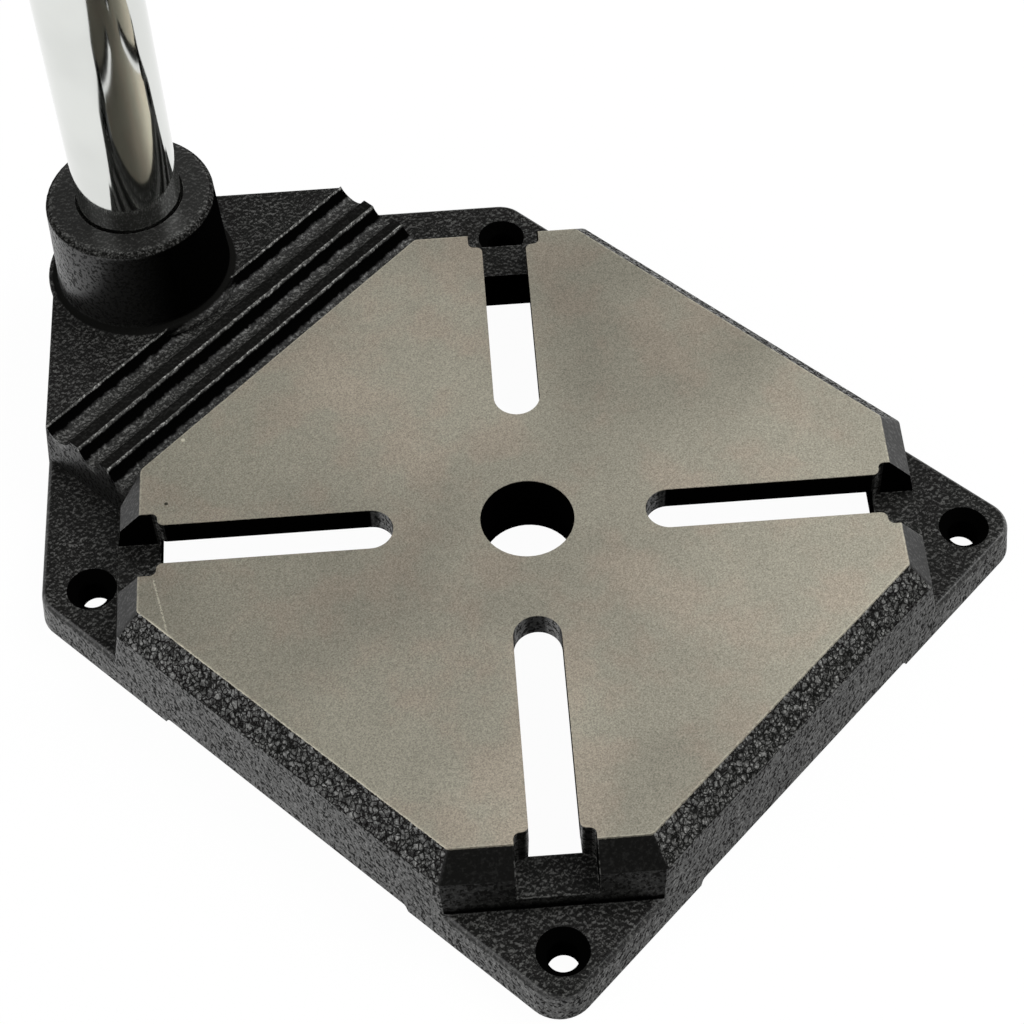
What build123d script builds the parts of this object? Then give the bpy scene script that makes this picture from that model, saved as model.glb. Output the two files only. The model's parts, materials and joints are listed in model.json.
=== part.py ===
from build123d import *
from math import cos, pi, radians, sin, sqrt, tan
import os

# Drill stand: a cast base with a slotted ground table, a round column, and a sprung head that a
# rack and pinion feeds down the column. The drill's collar is clamped at the front of the head.
# Millimetres. The origin is on the bench under the middle of the table's hole, +Y towards the
# column and +X to the user's right.

os.makedirs("parts", exist_ok=True)

# Base casting, heights over the bench. A cut runs past the solid by CUT_OVER
TABLE_TOP = 24.0
TABLE_HALF = 75.0
TABLE_FRONT = 73.4
TABLE_BACK = 77.6
BEVEL_FOOT = 18.2
EAR_TOP = 8.6
SKIRT_HALF = 82.5
SKIRT_FRONT = 81.0
DRAFT = 6.0
FRONT_CUT = 83.7
REAR_CUT = 88.0
CUT_BEVEL_OUT = 5.4
CUT_SPREAD = 3.7
TABLE_CORNER_R = 1.6
EAR_CORNER_R = 8.0
EAR_EDGE_R = 1.5
EAR_HOLE_PITCH = 143.0
EAR_HOLE_R = 3.5
EAR_DISH_R = 5.8
EAR_DISH_ANGLE = 84.0
CUT_OVER = 5.0

# Ridges and coves between the table and the rear platform
PLATFORM_TOP = 20.0
RIDGE_TOP = 21.0
RIDGE_HALF = 52.8
PLATFORM_FRONT = 106.8
BLOCK_LAP = 20.0
COVES = ((81.65, 21.7, 3.92), (91.9, 21.4, 3.62), (102.75, 22.1, 4.3))

# Hollow underside, measured at its ceilings: its walls draft outwards towards the bench
CEILING = 17.5
REAR_CEILING = 13.0
HOLLOW_HALF = 76.0
HOLLOW_FRONT = 74.5
HOLLOW_BACK = 75.0
HOLLOW_FRONT_CUT = 79.9
HOLLOW_REAR_CUT = 84.1
HOLLOW_CORNER_R = 4.0
REAR_HOLLOW_HALF = 45.0
REAR_HOLLOW_FRONT = 82.0
REAR_WALL = 6.0
RELIEF = 1.5
RELIEF_HALF = 38.0
RELIEF_SLOPE = 60.0
RELIEF_R = 1.0
RELIEF_REACH = 10.0

# Table hole and the diagonal slots
TABLE_HOLE_R = 10.7
HOLE_RING_R = 16.0
HOLE_RING_FOOT = 7.0
SLOT_R = 5.4
SLOT_REAR_START = 30.4
SLOT_FRONT_START = 26.9
MOUTH_HALF = 8.7
MOUTH_REAR = 84.0
MOUTH_FRONT = 81.0
MOUTH_REACH = 30.0
MOUTH_CORNER_R = 1.5
LEDGE_TOP = 12.5

# Column and its socket
COLUMN_Y = 126.0
COLUMN_R = 12.5
COLUMN_BORE_R = 10.5
COLUMN_FOOT = 8.0
COLUMN_LENGTH = 400.0
RUNNING_GAP = 0.05
REAR_R = 24.5
SOCKET_TOP = 45.6
SOCKET_TOP_R = 20.2
SOCKET_FOOT_R = 21.3
SOCKET_FLARE_R = 2.4
SOCKET_SKIRT = 1.0
SOCKET_EDGE_R = 1.5
SOCKET_CHAMFER = 0.5
SOCKET_SCREW_Z = 33.0
SOCKET_SCREW_END = 19.0
COLUMN_TOP = COLUMN_FOOT + COLUMN_LENGTH
CAP_HEIGHT = 3.0
CAP_PLUG = 12.0
CAP_EDGE_R = 1.2
ROD_CHAMFER = 0.6

# Metric fasteners: shank, hexagon, and the key's socket in a round head
M8_R = 4.0
M8_FLATS = 13.0
M8_HEIGHT = 6.5
M8_HEAD = 5.5
M8_KEY_HALF = 2.0
M8_KEY_DEPTH = 4.0
M6_R = 3.0
M6_FLATS = 10.0
M6_HEIGHT = 5.0
M6_HEAD_R = 5.0
M6_HEAD = 6.0
M6_KEY_HALF = 2.5
M6_KEY_DEPTH = 3.0
M5_R = 2.5
M5_HEAD_R = 4.25
M5_HEAD = 5.0
M5_KEY_HALF = 2.0
M5_KEY_DEPTH = 2.5
BOLT_END = 2.0
HEX_CHAMFER = 30.0

# Carriage, at the top of its travel
TRAVEL = 60.0
CARRIAGE_Z = 225.0
CARRIAGE_HEIGHT = 58.0
HUB_R = 21.0
CASE_HALF = 26.0
CASE_FRONT = 66.0
CASE_BACK = 112.0
CASE_TOP = 277.0
CASE_CORNER_R = 4.0
CAST_EDGE_R = 1.2
LUG_BLEND_R = 2.0
CASE_MIDDLE = (CASE_FRONT + CASE_BACK) / 2
CARRIAGE_TOP = CARRIAGE_Z + CARRIAGE_HEIGHT
LUG_R = 9.0
LUG_HEIGHT = 16.0
COLLAR_R = 21.5
COLLAR_WALL = 8.5
COLLAR_OUTER_R = COLLAR_R + COLLAR_WALL
COLLAR_Z = 230.0
COLLAR_HEIGHT = 25.0
COLLAR_TOP = COLLAR_Z + COLLAR_HEIGHT
COLLAR_GAP = 3.0
COLLAR_EAR_HALF = 13.0
COLLAR_EAR_FRONT = 46.0
COLLAR_EAR_R = 5.0
COLLAR_BOLT_Y = -37.5
COLLAR_BOLT_Z = COLLAR_Z + COLLAR_HEIGHT / 2
ARM_SLOPE_START = 34.0
ARM_SLOPE_END = 70.0
ARM_LAP = 12.0
ARM_POCKET = (38.0, 60.0)
ARM_SKIN = 6.0

# Rack and pinion
MODULE = 2.0
PINION_TEETH = 12
PRESSURE_ANGLE = 20.0
BACKLASH = 0.25
RACK_ADDENDUM = 1.3
PINION_ADDENDUM = 1.8
TOOTH_CLEARANCE = 0.4
PITCH_R = MODULE * PINION_TEETH / 2
TOOTH_PITCH = pi * MODULE
PINION_Y = 87.0
PINION_Z = 256.0
PINION_HALF = 8.0
PINION_MIDDLE = 0.4
CHAMBER_GAP = 0.5
RACK_PITCH_Y = PINION_Y + PITCH_R
RACK_FRONT = RACK_PITCH_Y - RACK_ADDENDUM
RACK_ROOT = RACK_PITCH_Y + PINION_ADDENDUM + TOOTH_CLEARANCE
FLANK = tan(radians(PRESSURE_ANGLE))
RACK_HALF = 5.0
RACK_BACK = 108.0
RACK_BOTTOM = 180.0
RACK_TEETH_BELOW = 12
RACK_TEETH_ABOVE = 3
SLIDE_GAP = 0.1
RACK_SCREW_BITE = 5.0
RACK_SCREW_END_GAP = 0.5

# Feed shaft and handle
JOURNAL_R = 8.0
LEFT_JOURNAL_R = 6.0
LEFT_BUSH_R = 9.0
RIGHT_BUSH_R = 15.0
BUSH_INSET = 0.3
LEFT_END = 4.0
RING_GROOVE_X = -CASE_HALF - 1.2
RING_GROOVE = 1.0
SHAFT_RING_R = 8.5
SHAFT_RING_MOUTH = 6.0
FEED_HUB_X = 43.0
FEED_HUB_END = 66.0
FEED_HUB_R = 15.0
FEED_SEAT_R = 7.0
FEED_HUB_EDGE_R = 2.0
SPOKE_X = 55.0
SPOKE_R = 4.0
SPOKE_START = 9.5
SPOKE_END = 74.0
SPOKE_COUNT = 3
SPOKE_ANGLE = 30.0
SPOKE_HOLE = 10.0
KNOB_R = 11.0
KNOB_CENTRE = 80.0
KNOB_NECK_R = 6.0
KNOB_FOOT = KNOB_CENTRE - KNOB_R - 1.0
HUB_PIN_X = 47.5
HUB_PIN_R = 2.0
HUB_PIN_LENGTH = 29.0

# Column bracket
BUFFER_HEIGHT = 4.0
BUFFER_R = COLUMN_Y - RACK_BACK - 0.5
BUFFER_GAP = 0.2
BRACKET_Z = 288.0
BRACKET_HEIGHT = 35.0
BRACKET_R = 22.0
BRACKET_LUG = 15.0
CLAMP_EAR_HALF = 14.0
CLAMP_EAR_BACK = 168.0
CLAMP_EAR_R = 6.0
CLAMP_GAP = 3.0
CLAMP_Y = 157.0
CLAMP_Z = BRACKET_Z + BRACKET_HEIGHT / 2
WASHER = 1.6
WASHER_R = 8.0
CLAMP_BOLT_OUT = 14.0
BRACKET_TOP = BRACKET_Z + BRACKET_HEIGHT
RACK_SCREW_PITCH = BRACKET_HEIGHT / 2

# Clamp lever: a boss threaded on the bolt, and an arm that leans back and down
LEVER_X = CLAMP_EAR_HALF + WASHER
LEVER_BOSS = 11.0
LEVER_BOSS_R = 9.0
LEVER_BOSS_EDGE_R = 1.5
LEVER_LENGTH = 62.0
LEVER_LEAN = -20.0
LEVER_ARM_START = 3.0
LEVER_ARM_R = 4.6
LEVER_TIP_R = 3.4
LEVER_END_R = 6.5

# Guide rod with the return spring, and depth stop rod
ROD_R = 4.0
GUIDE_X = -35.0
GUIDE_BOTTOM = 115.0
ROD_OUT = 3.0
SEAT_R = 8.0
SEAT_THICK = 1.5
NUT_GAP = 0.3
SPRING_WIRE_R = 0.8
SPRING_R = 6.2
SPRING_TURNS = 15
SPRING_LENGTH = 90.0
SPRING_BOTTOM = CARRIAGE_Z - SEAT_THICK - SPRING_LENGTH
DEPTH_X = 32.0
DEPTH_TOP = 405.0
DEPTH_HOLE_R = 4.4
RING_R = 8.5
RING_HEIGHT = 12.0
RING_START_GAP = 0.5
RING_Z = BRACKET_TOP + TRAVEL + RING_START_GAP
THUMB_SHANK_R = 2.0
THUMB_HEAD_R = 6.0
THUMB_HEAD = 7.0
THUMB_HEAD_GAP = 0.5
THUMB_FLUTES = 10
THUMB_FLUTE_R = 1.2
THUMB_FLUTE_OUT = 6.6


def save(part, name):
    """Labels a finished piece and writes it to its own file."""
    part.label = name
    export_step(part, f"parts/{name}.step")


def shrink(height):
    """How far a drafted outer wall has come in at a height over the bench."""
    return height * tan(radians(DRAFT))


def table_outline(half, front, back, front_cut, rear_cut, corner_r):
    """Octagon: the four corners of a rectangle cut square to the diagonals at the given distances."""
    front_sum = front_cut * sqrt(2)
    rear_sum = rear_cut * sqrt(2)
    with BuildSketch() as outline:
        with BuildLine():
            Polyline(
                (0, -front),
                (front_sum - front, -front),
                (half, half - front_sum),
                (half, rear_sum - half),
                (rear_sum - back, back),
                (0, back),
            )
            mirror(about=Plane.YZ)
        make_face()
        fillet(outline.vertices().filter_by(lambda v: abs(v.X) > 1), corner_r)
    return outline.sketch


def rear_outline(half, front):
    """Outline with straight sides, then two 45 degree edges tangent to a curve round the column."""
    tangent_sum = COLUMN_Y + REAR_R * sqrt(2)
    touch = REAR_R / sqrt(2)
    with BuildSketch() as outline:
        with BuildLine():
            Polyline((0, front), (half, front), (half, tangent_sum - half), (touch, COLUMN_Y + touch))
            CenterArc((0, COLUMN_Y), REAR_R, 45, 45)
            mirror(about=Plane.YZ)
        make_face()
    return outline.sketch


def slot_outline(start, mouth):
    """A slot along the X axis with a round inner end, and a wider mouth at its outer end."""
    centre = start + SLOT_R
    with BuildSketch() as outline:
        with Locations((centre, 0)):
            Circle(SLOT_R)
            Rectangle(mouth - centre, 2 * SLOT_R, align=(Align.MIN, Align.CENTER))
        with Locations((mouth, 0)):
            Rectangle(MOUTH_REACH, 2 * MOUTH_HALF, align=(Align.MIN, Align.CENTER))
        fillet(outline.vertices().filter_by(lambda v: abs(v.X - mouth) < 0.1), MOUTH_CORNER_R)
    return outline.sketch


def lug_outline(hub_r):
    """A hub round the column with a round-ended lug on each side, blended into it."""
    with BuildSketch() as outline:
        with Locations((0, COLUMN_Y)):
            Circle(hub_r)
        with Locations((GUIDE_X, COLUMN_Y)):
            Circle(LUG_R)
            Rectangle(-GUIDE_X, 2 * LUG_R, align=(Align.MIN, Align.CENTER))
        with Locations((DEPTH_X, COLUMN_Y)):
            Circle(LUG_R)
            Rectangle(DEPTH_X, 2 * LUG_R, align=(Align.MAX, Align.CENTER))
        fillet(outline.vertices().filter_by(lambda v: abs(v.X) < hub_r), LUG_BLEND_R)
    return outline.sketch


def hexagon_block(flats, height):
    """A hexagon along +Z as long as a nut or bolt head, the corners of its far end turned off."""
    corner_r = flats / sqrt(3)
    drop = (corner_r - flats / 2) * tan(radians(HEX_CHAMFER))
    with BuildPart() as block:
        with BuildSketch():
            RegularPolygon(flats / 2, 6, major_radius=False)
        extrude(amount=height)
        with BuildSketch(Plane.XZ):
            with BuildLine():
                Polyline(
                    (0, 0),
                    (corner_r, 0),
                    (corner_r, height - drop),
                    (flats / 2, height),
                    (0, height),
                    close=True,
                )
            make_face()
        revolve(axis=Axis.Z, mode=Mode.INTERSECT)
    return block.part


def pinion_half_angle(radius):
    """Half the angle that a tooth fills at a radius outside the base circle, in radians."""
    pressure = radians(PRESSURE_ANGLE)
    pitch_half = (TOOTH_PITCH / 2 - BACKLASH) / 2 / PITCH_R
    base_r = PITCH_R * cos(pressure)
    cosine = min(1.0, base_r / radius)
    tangent = sqrt(1 / cosine**2 - 1)
    involute = tangent - Vector(1, 0, 0).get_angle(Vector(cosine, cosine * tangent, 0)) * pi / 180
    return pitch_half + tan(pressure) - pressure - involute


def spring_height(turn):
    """Height of the wire's centre over its lower end: a steady pitch, easing to flat over each end turn."""
    pitch = (SPRING_LENGTH - 2 * SPRING_WIRE_R) / (SPRING_TURNS - 4 / 3)
    if turn < 1:
        return pitch / 3 * turn**3
    if turn > SPRING_TURNS - 1:
        return SPRING_LENGTH - 2 * SPRING_WIRE_R - pitch / 3 * (SPRING_TURNS - turn) ** 3
    return pitch / 3 + pitch * (turn - 1)


def spring_point(turn):
    """Centre of the spring's wire after a number of turns."""
    angle = 2 * pi * turn
    z = SPRING_BOTTOM + SPRING_WIRE_R + spring_height(turn)
    return Vector(GUIDE_X + SPRING_R * cos(angle), COLUMN_Y + SPRING_R * sin(angle), z)


def spring_tangent(turn):
    """Unit direction of the spring's wire after a number of turns."""
    step = 0.001
    low = max(0, turn - step)
    high = min(SPRING_TURNS, turn + step)
    rise = (spring_height(high) - spring_height(low)) / (high - low)
    angle = 2 * pi * turn
    round_way = 2 * pi * SPRING_R
    return Vector(-round_way * sin(angle), round_way * cos(angle), rise).normalized()


def biarc(start, start_dir, end, end_dir):
    """Two arcs that meet smoothly: they leave the start and reach the end in the given directions."""
    chord = end - start
    both = start_dir + end_dir
    a = both.dot(both) - 4
    b = -2 * chord.dot(both)
    c = chord.dot(chord)
    reach = (-b - sqrt(b * b - 4 * a * c)) / (2 * a)
    middle = (start + start_dir * reach + end - end_dir * reach) * 0.5
    TangentArc(start, middle, tangent=start_dir)
    TangentArc(middle, end, tangent=end_dir * -1, tangent_from_first=False)


# Base: the low plate with its ears, the skirt and bevelled table, and the block of the rear platform
with BuildPart() as base:
    with BuildSketch() as footprint:
        add(rear_outline(SKIRT_HALF, -SKIRT_FRONT))
        outer_corners = footprint.vertices().filter_by(lambda v: abs(v.X) > SKIRT_HALF - 1)
        fillet(outer_corners, EAR_CORNER_R)
    extrude(amount=EAR_TOP, taper=DRAFT)
    fillet(base.faces().sort_by(Axis.Z)[-1].edges(), EAR_EDGE_R)

    skirt_foot = table_outline(
        SKIRT_HALF,
        SKIRT_FRONT,
        TABLE_BACK,
        FRONT_CUT + CUT_BEVEL_OUT + CUT_SPREAD,
        REAR_CUT + CUT_BEVEL_OUT + CUT_SPREAD,
        TABLE_CORNER_R,
    )
    bevel_foot = table_outline(
        SKIRT_HALF - shrink(BEVEL_FOOT),
        SKIRT_FRONT - shrink(BEVEL_FOOT),
        TABLE_BACK,
        FRONT_CUT + CUT_BEVEL_OUT,
        REAR_CUT + CUT_BEVEL_OUT,
        TABLE_CORNER_R,
    )
    with BuildSketch():
        add(skirt_foot)
    with BuildSketch(Plane.XY.offset(BEVEL_FOOT)):
        add(bevel_foot)
    loft(ruled=True)
    with BuildSketch(Plane.XY.offset(BEVEL_FOOT)):
        add(bevel_foot)
    table_edge = table_outline(TABLE_HALF, TABLE_FRONT, TABLE_BACK, FRONT_CUT, REAR_CUT, TABLE_CORNER_R)
    with BuildSketch(Plane.XY.offset(TABLE_TOP)):
        add(table_edge)
    loft(ruled=True)

    with BuildSketch():
        add(rear_outline(RIDGE_HALF, TABLE_BACK - BLOCK_LAP))
    extrude(amount=RIDGE_TOP, taper=DRAFT)
    with Locations((0, PLATFORM_FRONT, PLATFORM_TOP)):
        Box(
            2 * SKIRT_HALF,
            3 * REAR_R,
            CUT_OVER,
            align=(Align.CENTER, Align.MIN, Align.MIN),
            mode=Mode.SUBTRACT,
        )
    for cove_y, cove_z, cove_r in COVES:
        with Locations((0, cove_y, cove_z)):
            Cylinder(cove_r, 2 * SKIRT_HALF, rotation=(0, 90, 0), mode=Mode.SUBTRACT)

    # Column socket with a flared foot
    with BuildSketch(Plane.YZ) as socket_profile:
        with BuildLine():
            Polyline(
                (COLUMN_Y, 0),
                (COLUMN_Y + SOCKET_FOOT_R - SOCKET_SKIRT, 0),
                (COLUMN_Y + SOCKET_FOOT_R - SOCKET_SKIRT, PLATFORM_TOP - SOCKET_SKIRT),
                (COLUMN_Y + SOCKET_FOOT_R + SOCKET_FLARE_R, PLATFORM_TOP - SOCKET_SKIRT),
                (COLUMN_Y + SOCKET_FOOT_R + SOCKET_FLARE_R, PLATFORM_TOP),
                (COLUMN_Y + SOCKET_FOOT_R, PLATFORM_TOP),
                (COLUMN_Y + SOCKET_TOP_R, SOCKET_TOP),
                (COLUMN_Y, SOCKET_TOP),
                close=True,
            )
        make_face()
        rim = socket_profile.vertices().group_by(Axis.Y)[-1].sort_by(Axis.X)[-1]
        fillet(rim, SOCKET_EDGE_R)
        foot = socket_profile.vertices().filter_by(lambda v: abs(v.Y - PLATFORM_TOP) < 0.1)
        fillet(foot.sort_by(Axis.X)[0], SOCKET_FLARE_R)
    revolve(axis=Axis((0, COLUMN_Y, 0), (0, 0, 1)))

    # Hollow underside, in two chambers
    hollow_ceiling = table_outline(
        HOLLOW_HALF,
        HOLLOW_FRONT,
        HOLLOW_BACK,
        HOLLOW_FRONT_CUT,
        HOLLOW_REAR_CUT,
        HOLLOW_CORNER_R,
    )
    with BuildSketch(Plane.XY.offset(CEILING)):
        add(hollow_ceiling)
    extrude(amount=-CEILING, taper=-DRAFT, mode=Mode.SUBTRACT)
    with BuildSketch(Plane.XY.offset(REAR_CEILING)):
        inner_sum = COLUMN_Y + (REAR_R - REAR_WALL) * sqrt(2)
        with BuildLine():
            Polyline(
                (0, REAR_HOLLOW_FRONT),
                (REAR_HOLLOW_HALF, REAR_HOLLOW_FRONT),
                (REAR_HOLLOW_HALF, inner_sum - REAR_HOLLOW_HALF),
                (inner_sum - COLUMN_Y, COLUMN_Y),
                (0, COLUMN_Y),
            )
            mirror(about=Plane.YZ)
        make_face()
        with Locations((0, COLUMN_Y)):
            Circle(SOCKET_FOOT_R, mode=Mode.SUBTRACT)
    extrude(amount=-REAR_CEILING, taper=-DRAFT, mode=Mode.SUBTRACT)

    # Ring round the table's hole, under the plate
    with BuildSketch(Plane.XY.offset(HOLE_RING_FOOT)):
        Circle(HOLE_RING_R)
    extrude(amount=TABLE_TOP - HOLE_RING_FOOT)
    with Locations((0, 0, TABLE_TOP)):
        Hole(TABLE_HOLE_R, depth=TABLE_TOP)

    # Diagonal slots with their mouths
    for angle in (45, 135):
        with BuildSketch(Plane.XY.offset(LEDGE_TOP).rotated((0, 0, angle))):
            add(slot_outline(SLOT_REAR_START, MOUTH_REAR))
        extrude(amount=TABLE_TOP, mode=Mode.SUBTRACT)
        with BuildSketch(Plane.XY.offset(LEDGE_TOP).rotated((0, 0, angle + 180))):
            add(slot_outline(SLOT_FRONT_START, MOUTH_FRONT))
        extrude(amount=TABLE_TOP, mode=Mode.SUBTRACT)

    # Bolting holes, dished at the top
    with Locations((0, 0, EAR_TOP)):
        with GridLocations(EAR_HOLE_PITCH, EAR_HOLE_PITCH, 2, 2):
            CounterSinkHole(EAR_HOLE_R, EAR_DISH_R, counter_sink_angle=EAR_DISH_ANGLE)

    # The base stands on its corners: shallow reliefs along the sides and the front
    with BuildSketch(Plane.YZ.offset(-SKIRT_HALF - CUT_OVER)) as side_relief:
        Trapezoid(2 * RELIEF_HALF, 2 * RELIEF, RELIEF_SLOPE, align=Align.CENTER)
        fillet(side_relief.vertices().group_by(Axis.Y)[-1], RELIEF_R)
    extrude(amount=2 * (SKIRT_HALF + CUT_OVER), mode=Mode.SUBTRACT)
    with BuildSketch(Plane.XZ.offset(SKIRT_FRONT + CUT_OVER)) as front_relief:
        Trapezoid(2 * RELIEF_HALF, 2 * RELIEF, RELIEF_SLOPE, align=Align.CENTER)
        fillet(front_relief.vertices().group_by(Axis.Y)[-1], RELIEF_R)
    extrude(amount=-CUT_OVER - RELIEF_REACH, mode=Mode.SUBTRACT)

    # Bore for the column and the hole of its screw
    with Locations((0, COLUMN_Y, SOCKET_TOP)):
        Hole(COLUMN_R + RUNNING_GAP, depth=SOCKET_TOP - COLUMN_FOOT)
    bore_rim = base.edges().filter_by(GeomType.CIRCLE).group_by(Axis.Z)[-1].sort_by(SortBy.RADIUS)[0]
    chamfer(bore_rim, SOCKET_CHAMFER)
    with BuildSketch(Plane.XZ.offset(-COLUMN_Y)):
        with Locations((0, SOCKET_SCREW_Z)):
            Circle(M8_R)
    extrude(amount=-REAR_R - CUT_OVER, mode=Mode.SUBTRACT)
save(base.part, "base")

m8_head = hexagon_block(M8_FLATS, M8_HEAD)
m8_nut = hexagon_block(M8_FLATS, M8_HEIGHT)
m6_nut = hexagon_block(M6_FLATS, M6_HEIGHT)

# Headless screw that holds the column in the socket, sunk in the socket's wall behind
with BuildPart() as column_set_screw:
    with BuildSketch(Plane.XZ.offset(-COLUMN_Y - COLUMN_R)):
        with Locations((0, SOCKET_SCREW_Z)):
            Circle(M8_R)
    extrude(amount=-(SOCKET_SCREW_END - COLUMN_R))
    with BuildSketch(Plane.XZ.offset(-COLUMN_Y - SOCKET_SCREW_END)):
        with Locations((0, SOCKET_SCREW_Z)):
            RegularPolygon(M8_KEY_HALF, 6, major_radius=False)
    extrude(amount=M8_KEY_DEPTH, mode=Mode.SUBTRACT)
save(column_set_screw.part, "column_set_screw")

# Column, a chromed tube, with its plug
with BuildPart() as column:
    with BuildSketch(Plane.XY.offset(COLUMN_FOOT)):
        with Locations((0, COLUMN_Y)):
            Circle(COLUMN_R)
            Circle(COLUMN_BORE_R, mode=Mode.SUBTRACT)
    extrude(amount=COLUMN_LENGTH)
    outer_rims = column.edges().filter_by(GeomType.CIRCLE).group_by(SortBy.RADIUS)[-1]
    chamfer(outer_rims, ROD_CHAMFER)
save(column.part, "column")

with BuildPart() as column_cap:
    with BuildSketch(Plane.XY.offset(COLUMN_TOP)):
        with Locations((0, COLUMN_Y)):
            Circle(COLUMN_R)
    extrude(amount=CAP_HEIGHT)
    fillet(column_cap.edges().group_by(Axis.Z)[-1], CAP_EDGE_R)
    with BuildSketch(Plane.XY.offset(COLUMN_TOP)):
        with Locations((0, COLUMN_Y)):
            Circle(COLUMN_BORE_R)
    extrude(amount=-CAP_PLUG)
save(column_cap.part, "column_cap")

# Column bracket: a split hub with the rack's seat in front, clamp ears behind and a lug on each
# side, flush with its top
with BuildPart() as column_bracket:
    with BuildSketch(Plane.XY.offset(BRACKET_Z)):
        with Locations((0, COLUMN_Y)):
            Circle(BRACKET_R)
        with Locations((0, COLUMN_Y)):
            Rectangle(2 * CLAMP_EAR_HALF, CLAMP_EAR_BACK - COLUMN_Y, align=(Align.CENTER, Align.MIN))
    extrude(amount=BRACKET_HEIGHT)
    ear_edges = column_bracket.edges().filter_by(Axis.X).group_by(Axis.Y)[-1]
    fillet(ear_edges, CLAMP_EAR_R)
    with BuildSketch(Plane.XY.offset(BRACKET_TOP - BRACKET_LUG)):
        add(lug_outline(BRACKET_R))
    extrude(amount=BRACKET_LUG)
    with Locations((0, COLUMN_Y, BRACKET_TOP)):
        Hole(COLUMN_R + RUNNING_GAP, depth=BRACKET_HEIGHT)
    with Locations((0, COLUMN_Y, BRACKET_Z)):
        Box(
            CLAMP_GAP,
            2 * BRACKET_R,
            BRACKET_HEIGHT,
            align=(Align.CENTER, Align.MIN, Align.MIN),
            mode=Mode.SUBTRACT,
        )
    with Locations((0, RACK_BACK, BRACKET_Z)):
        Box(
            2 * RACK_HALF,
            BRACKET_R,
            BRACKET_HEIGHT,
            align=(Align.CENTER, Align.MAX, Align.MIN),
            mode=Mode.SUBTRACT,
        )
    with BuildSketch(Plane.YZ.offset(-CLAMP_EAR_HALF - CUT_OVER)):
        with Locations((CLAMP_Y, CLAMP_Z)):
            Circle(M8_R)
    extrude(amount=2 * (CLAMP_EAR_HALF + CUT_OVER), mode=Mode.SUBTRACT)
    with Locations((GUIDE_X, COLUMN_Y, BRACKET_TOP)):
        Hole(ROD_R, depth=BRACKET_LUG)
    with Locations((DEPTH_X, COLUMN_Y, BRACKET_TOP)):
        Hole(DEPTH_HOLE_R, depth=BRACKET_LUG)
    with BuildSketch(Plane.XZ.offset(-RACK_BACK)):
        with Locations((0, CLAMP_Z)):
            with GridLocations(1, RACK_SCREW_PITCH, 1, 2):
                Circle(M5_R)
    extrude(amount=-RACK_SCREW_BITE, mode=Mode.SUBTRACT)
save(column_bracket.part, "column_bracket")

with BuildPart() as clamp_bolt:
    with Locations(Plane((-CLAMP_EAR_HALF, CLAMP_Y, CLAMP_Z), x_dir=(0, 1, 0), z_dir=(-1, 0, 0))):
        add(m8_head)
    with BuildSketch(Plane.YZ.offset(-CLAMP_EAR_HALF)):
        with Locations((CLAMP_Y, CLAMP_Z)):
            Circle(M8_R)
    extrude(amount=2 * CLAMP_EAR_HALF + CLAMP_BOLT_OUT)
save(clamp_bolt.part, "clamp_bolt")

with BuildPart() as clamp_washer:
    with BuildSketch(Plane.YZ.offset(CLAMP_EAR_HALF)):
        with Locations((CLAMP_Y, CLAMP_Z)):
            Circle(WASHER_R)
            Circle(M8_R, mode=Mode.SUBTRACT)
    extrude(amount=WASHER)
save(clamp_washer.part, "clamp_washer")

# Clamp lever
with BuildPart() as clamp_lever:
    lever_middle = LEVER_X + LEVER_BOSS / 2
    with BuildSketch(Plane.YZ.offset(LEVER_X)):
        with Locations((CLAMP_Y, CLAMP_Z)):
            Circle(LEVER_BOSS_R)
    extrude(amount=LEVER_BOSS)
    fillet(clamp_lever.edges().group_by(Axis.X)[-1], LEVER_BOSS_EDGE_R)
    arm_plane = Plane(
        origin=(lever_middle, CLAMP_Y, CLAMP_Z),
        x_dir=(1, 0, 0),
        z_dir=(0, cos(radians(LEVER_LEAN)), sin(radians(LEVER_LEAN))),
    )
    with BuildSketch(arm_plane.offset(LEVER_ARM_START)):
        Circle(LEVER_ARM_R)
    with BuildSketch(arm_plane.offset(LEVER_LENGTH)):
        Circle(LEVER_TIP_R)
    loft()
    with Locations(arm_plane.offset(LEVER_LENGTH)):
        Sphere(LEVER_END_R)
    with BuildSketch(Plane.YZ.offset(LEVER_X)):
        with Locations((CLAMP_Y, CLAMP_Z)):
            Circle(M8_R + RUNNING_GAP)
    extrude(amount=LEVER_BOSS, mode=Mode.SUBTRACT)
save(clamp_lever.part, "clamp_lever")

# Rubber ring that the carriage comes up against
with BuildPart() as top_buffer:
    with BuildSketch(Plane.XY.offset(BRACKET_Z - BUFFER_HEIGHT)):
        with Locations((0, COLUMN_Y)):
            Circle(BUFFER_R)
            Circle(COLUMN_R + BUFFER_GAP, mode=Mode.SUBTRACT)
    extrude(amount=BUFFER_HEIGHT)
save(top_buffer.part, "top_buffer")

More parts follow.
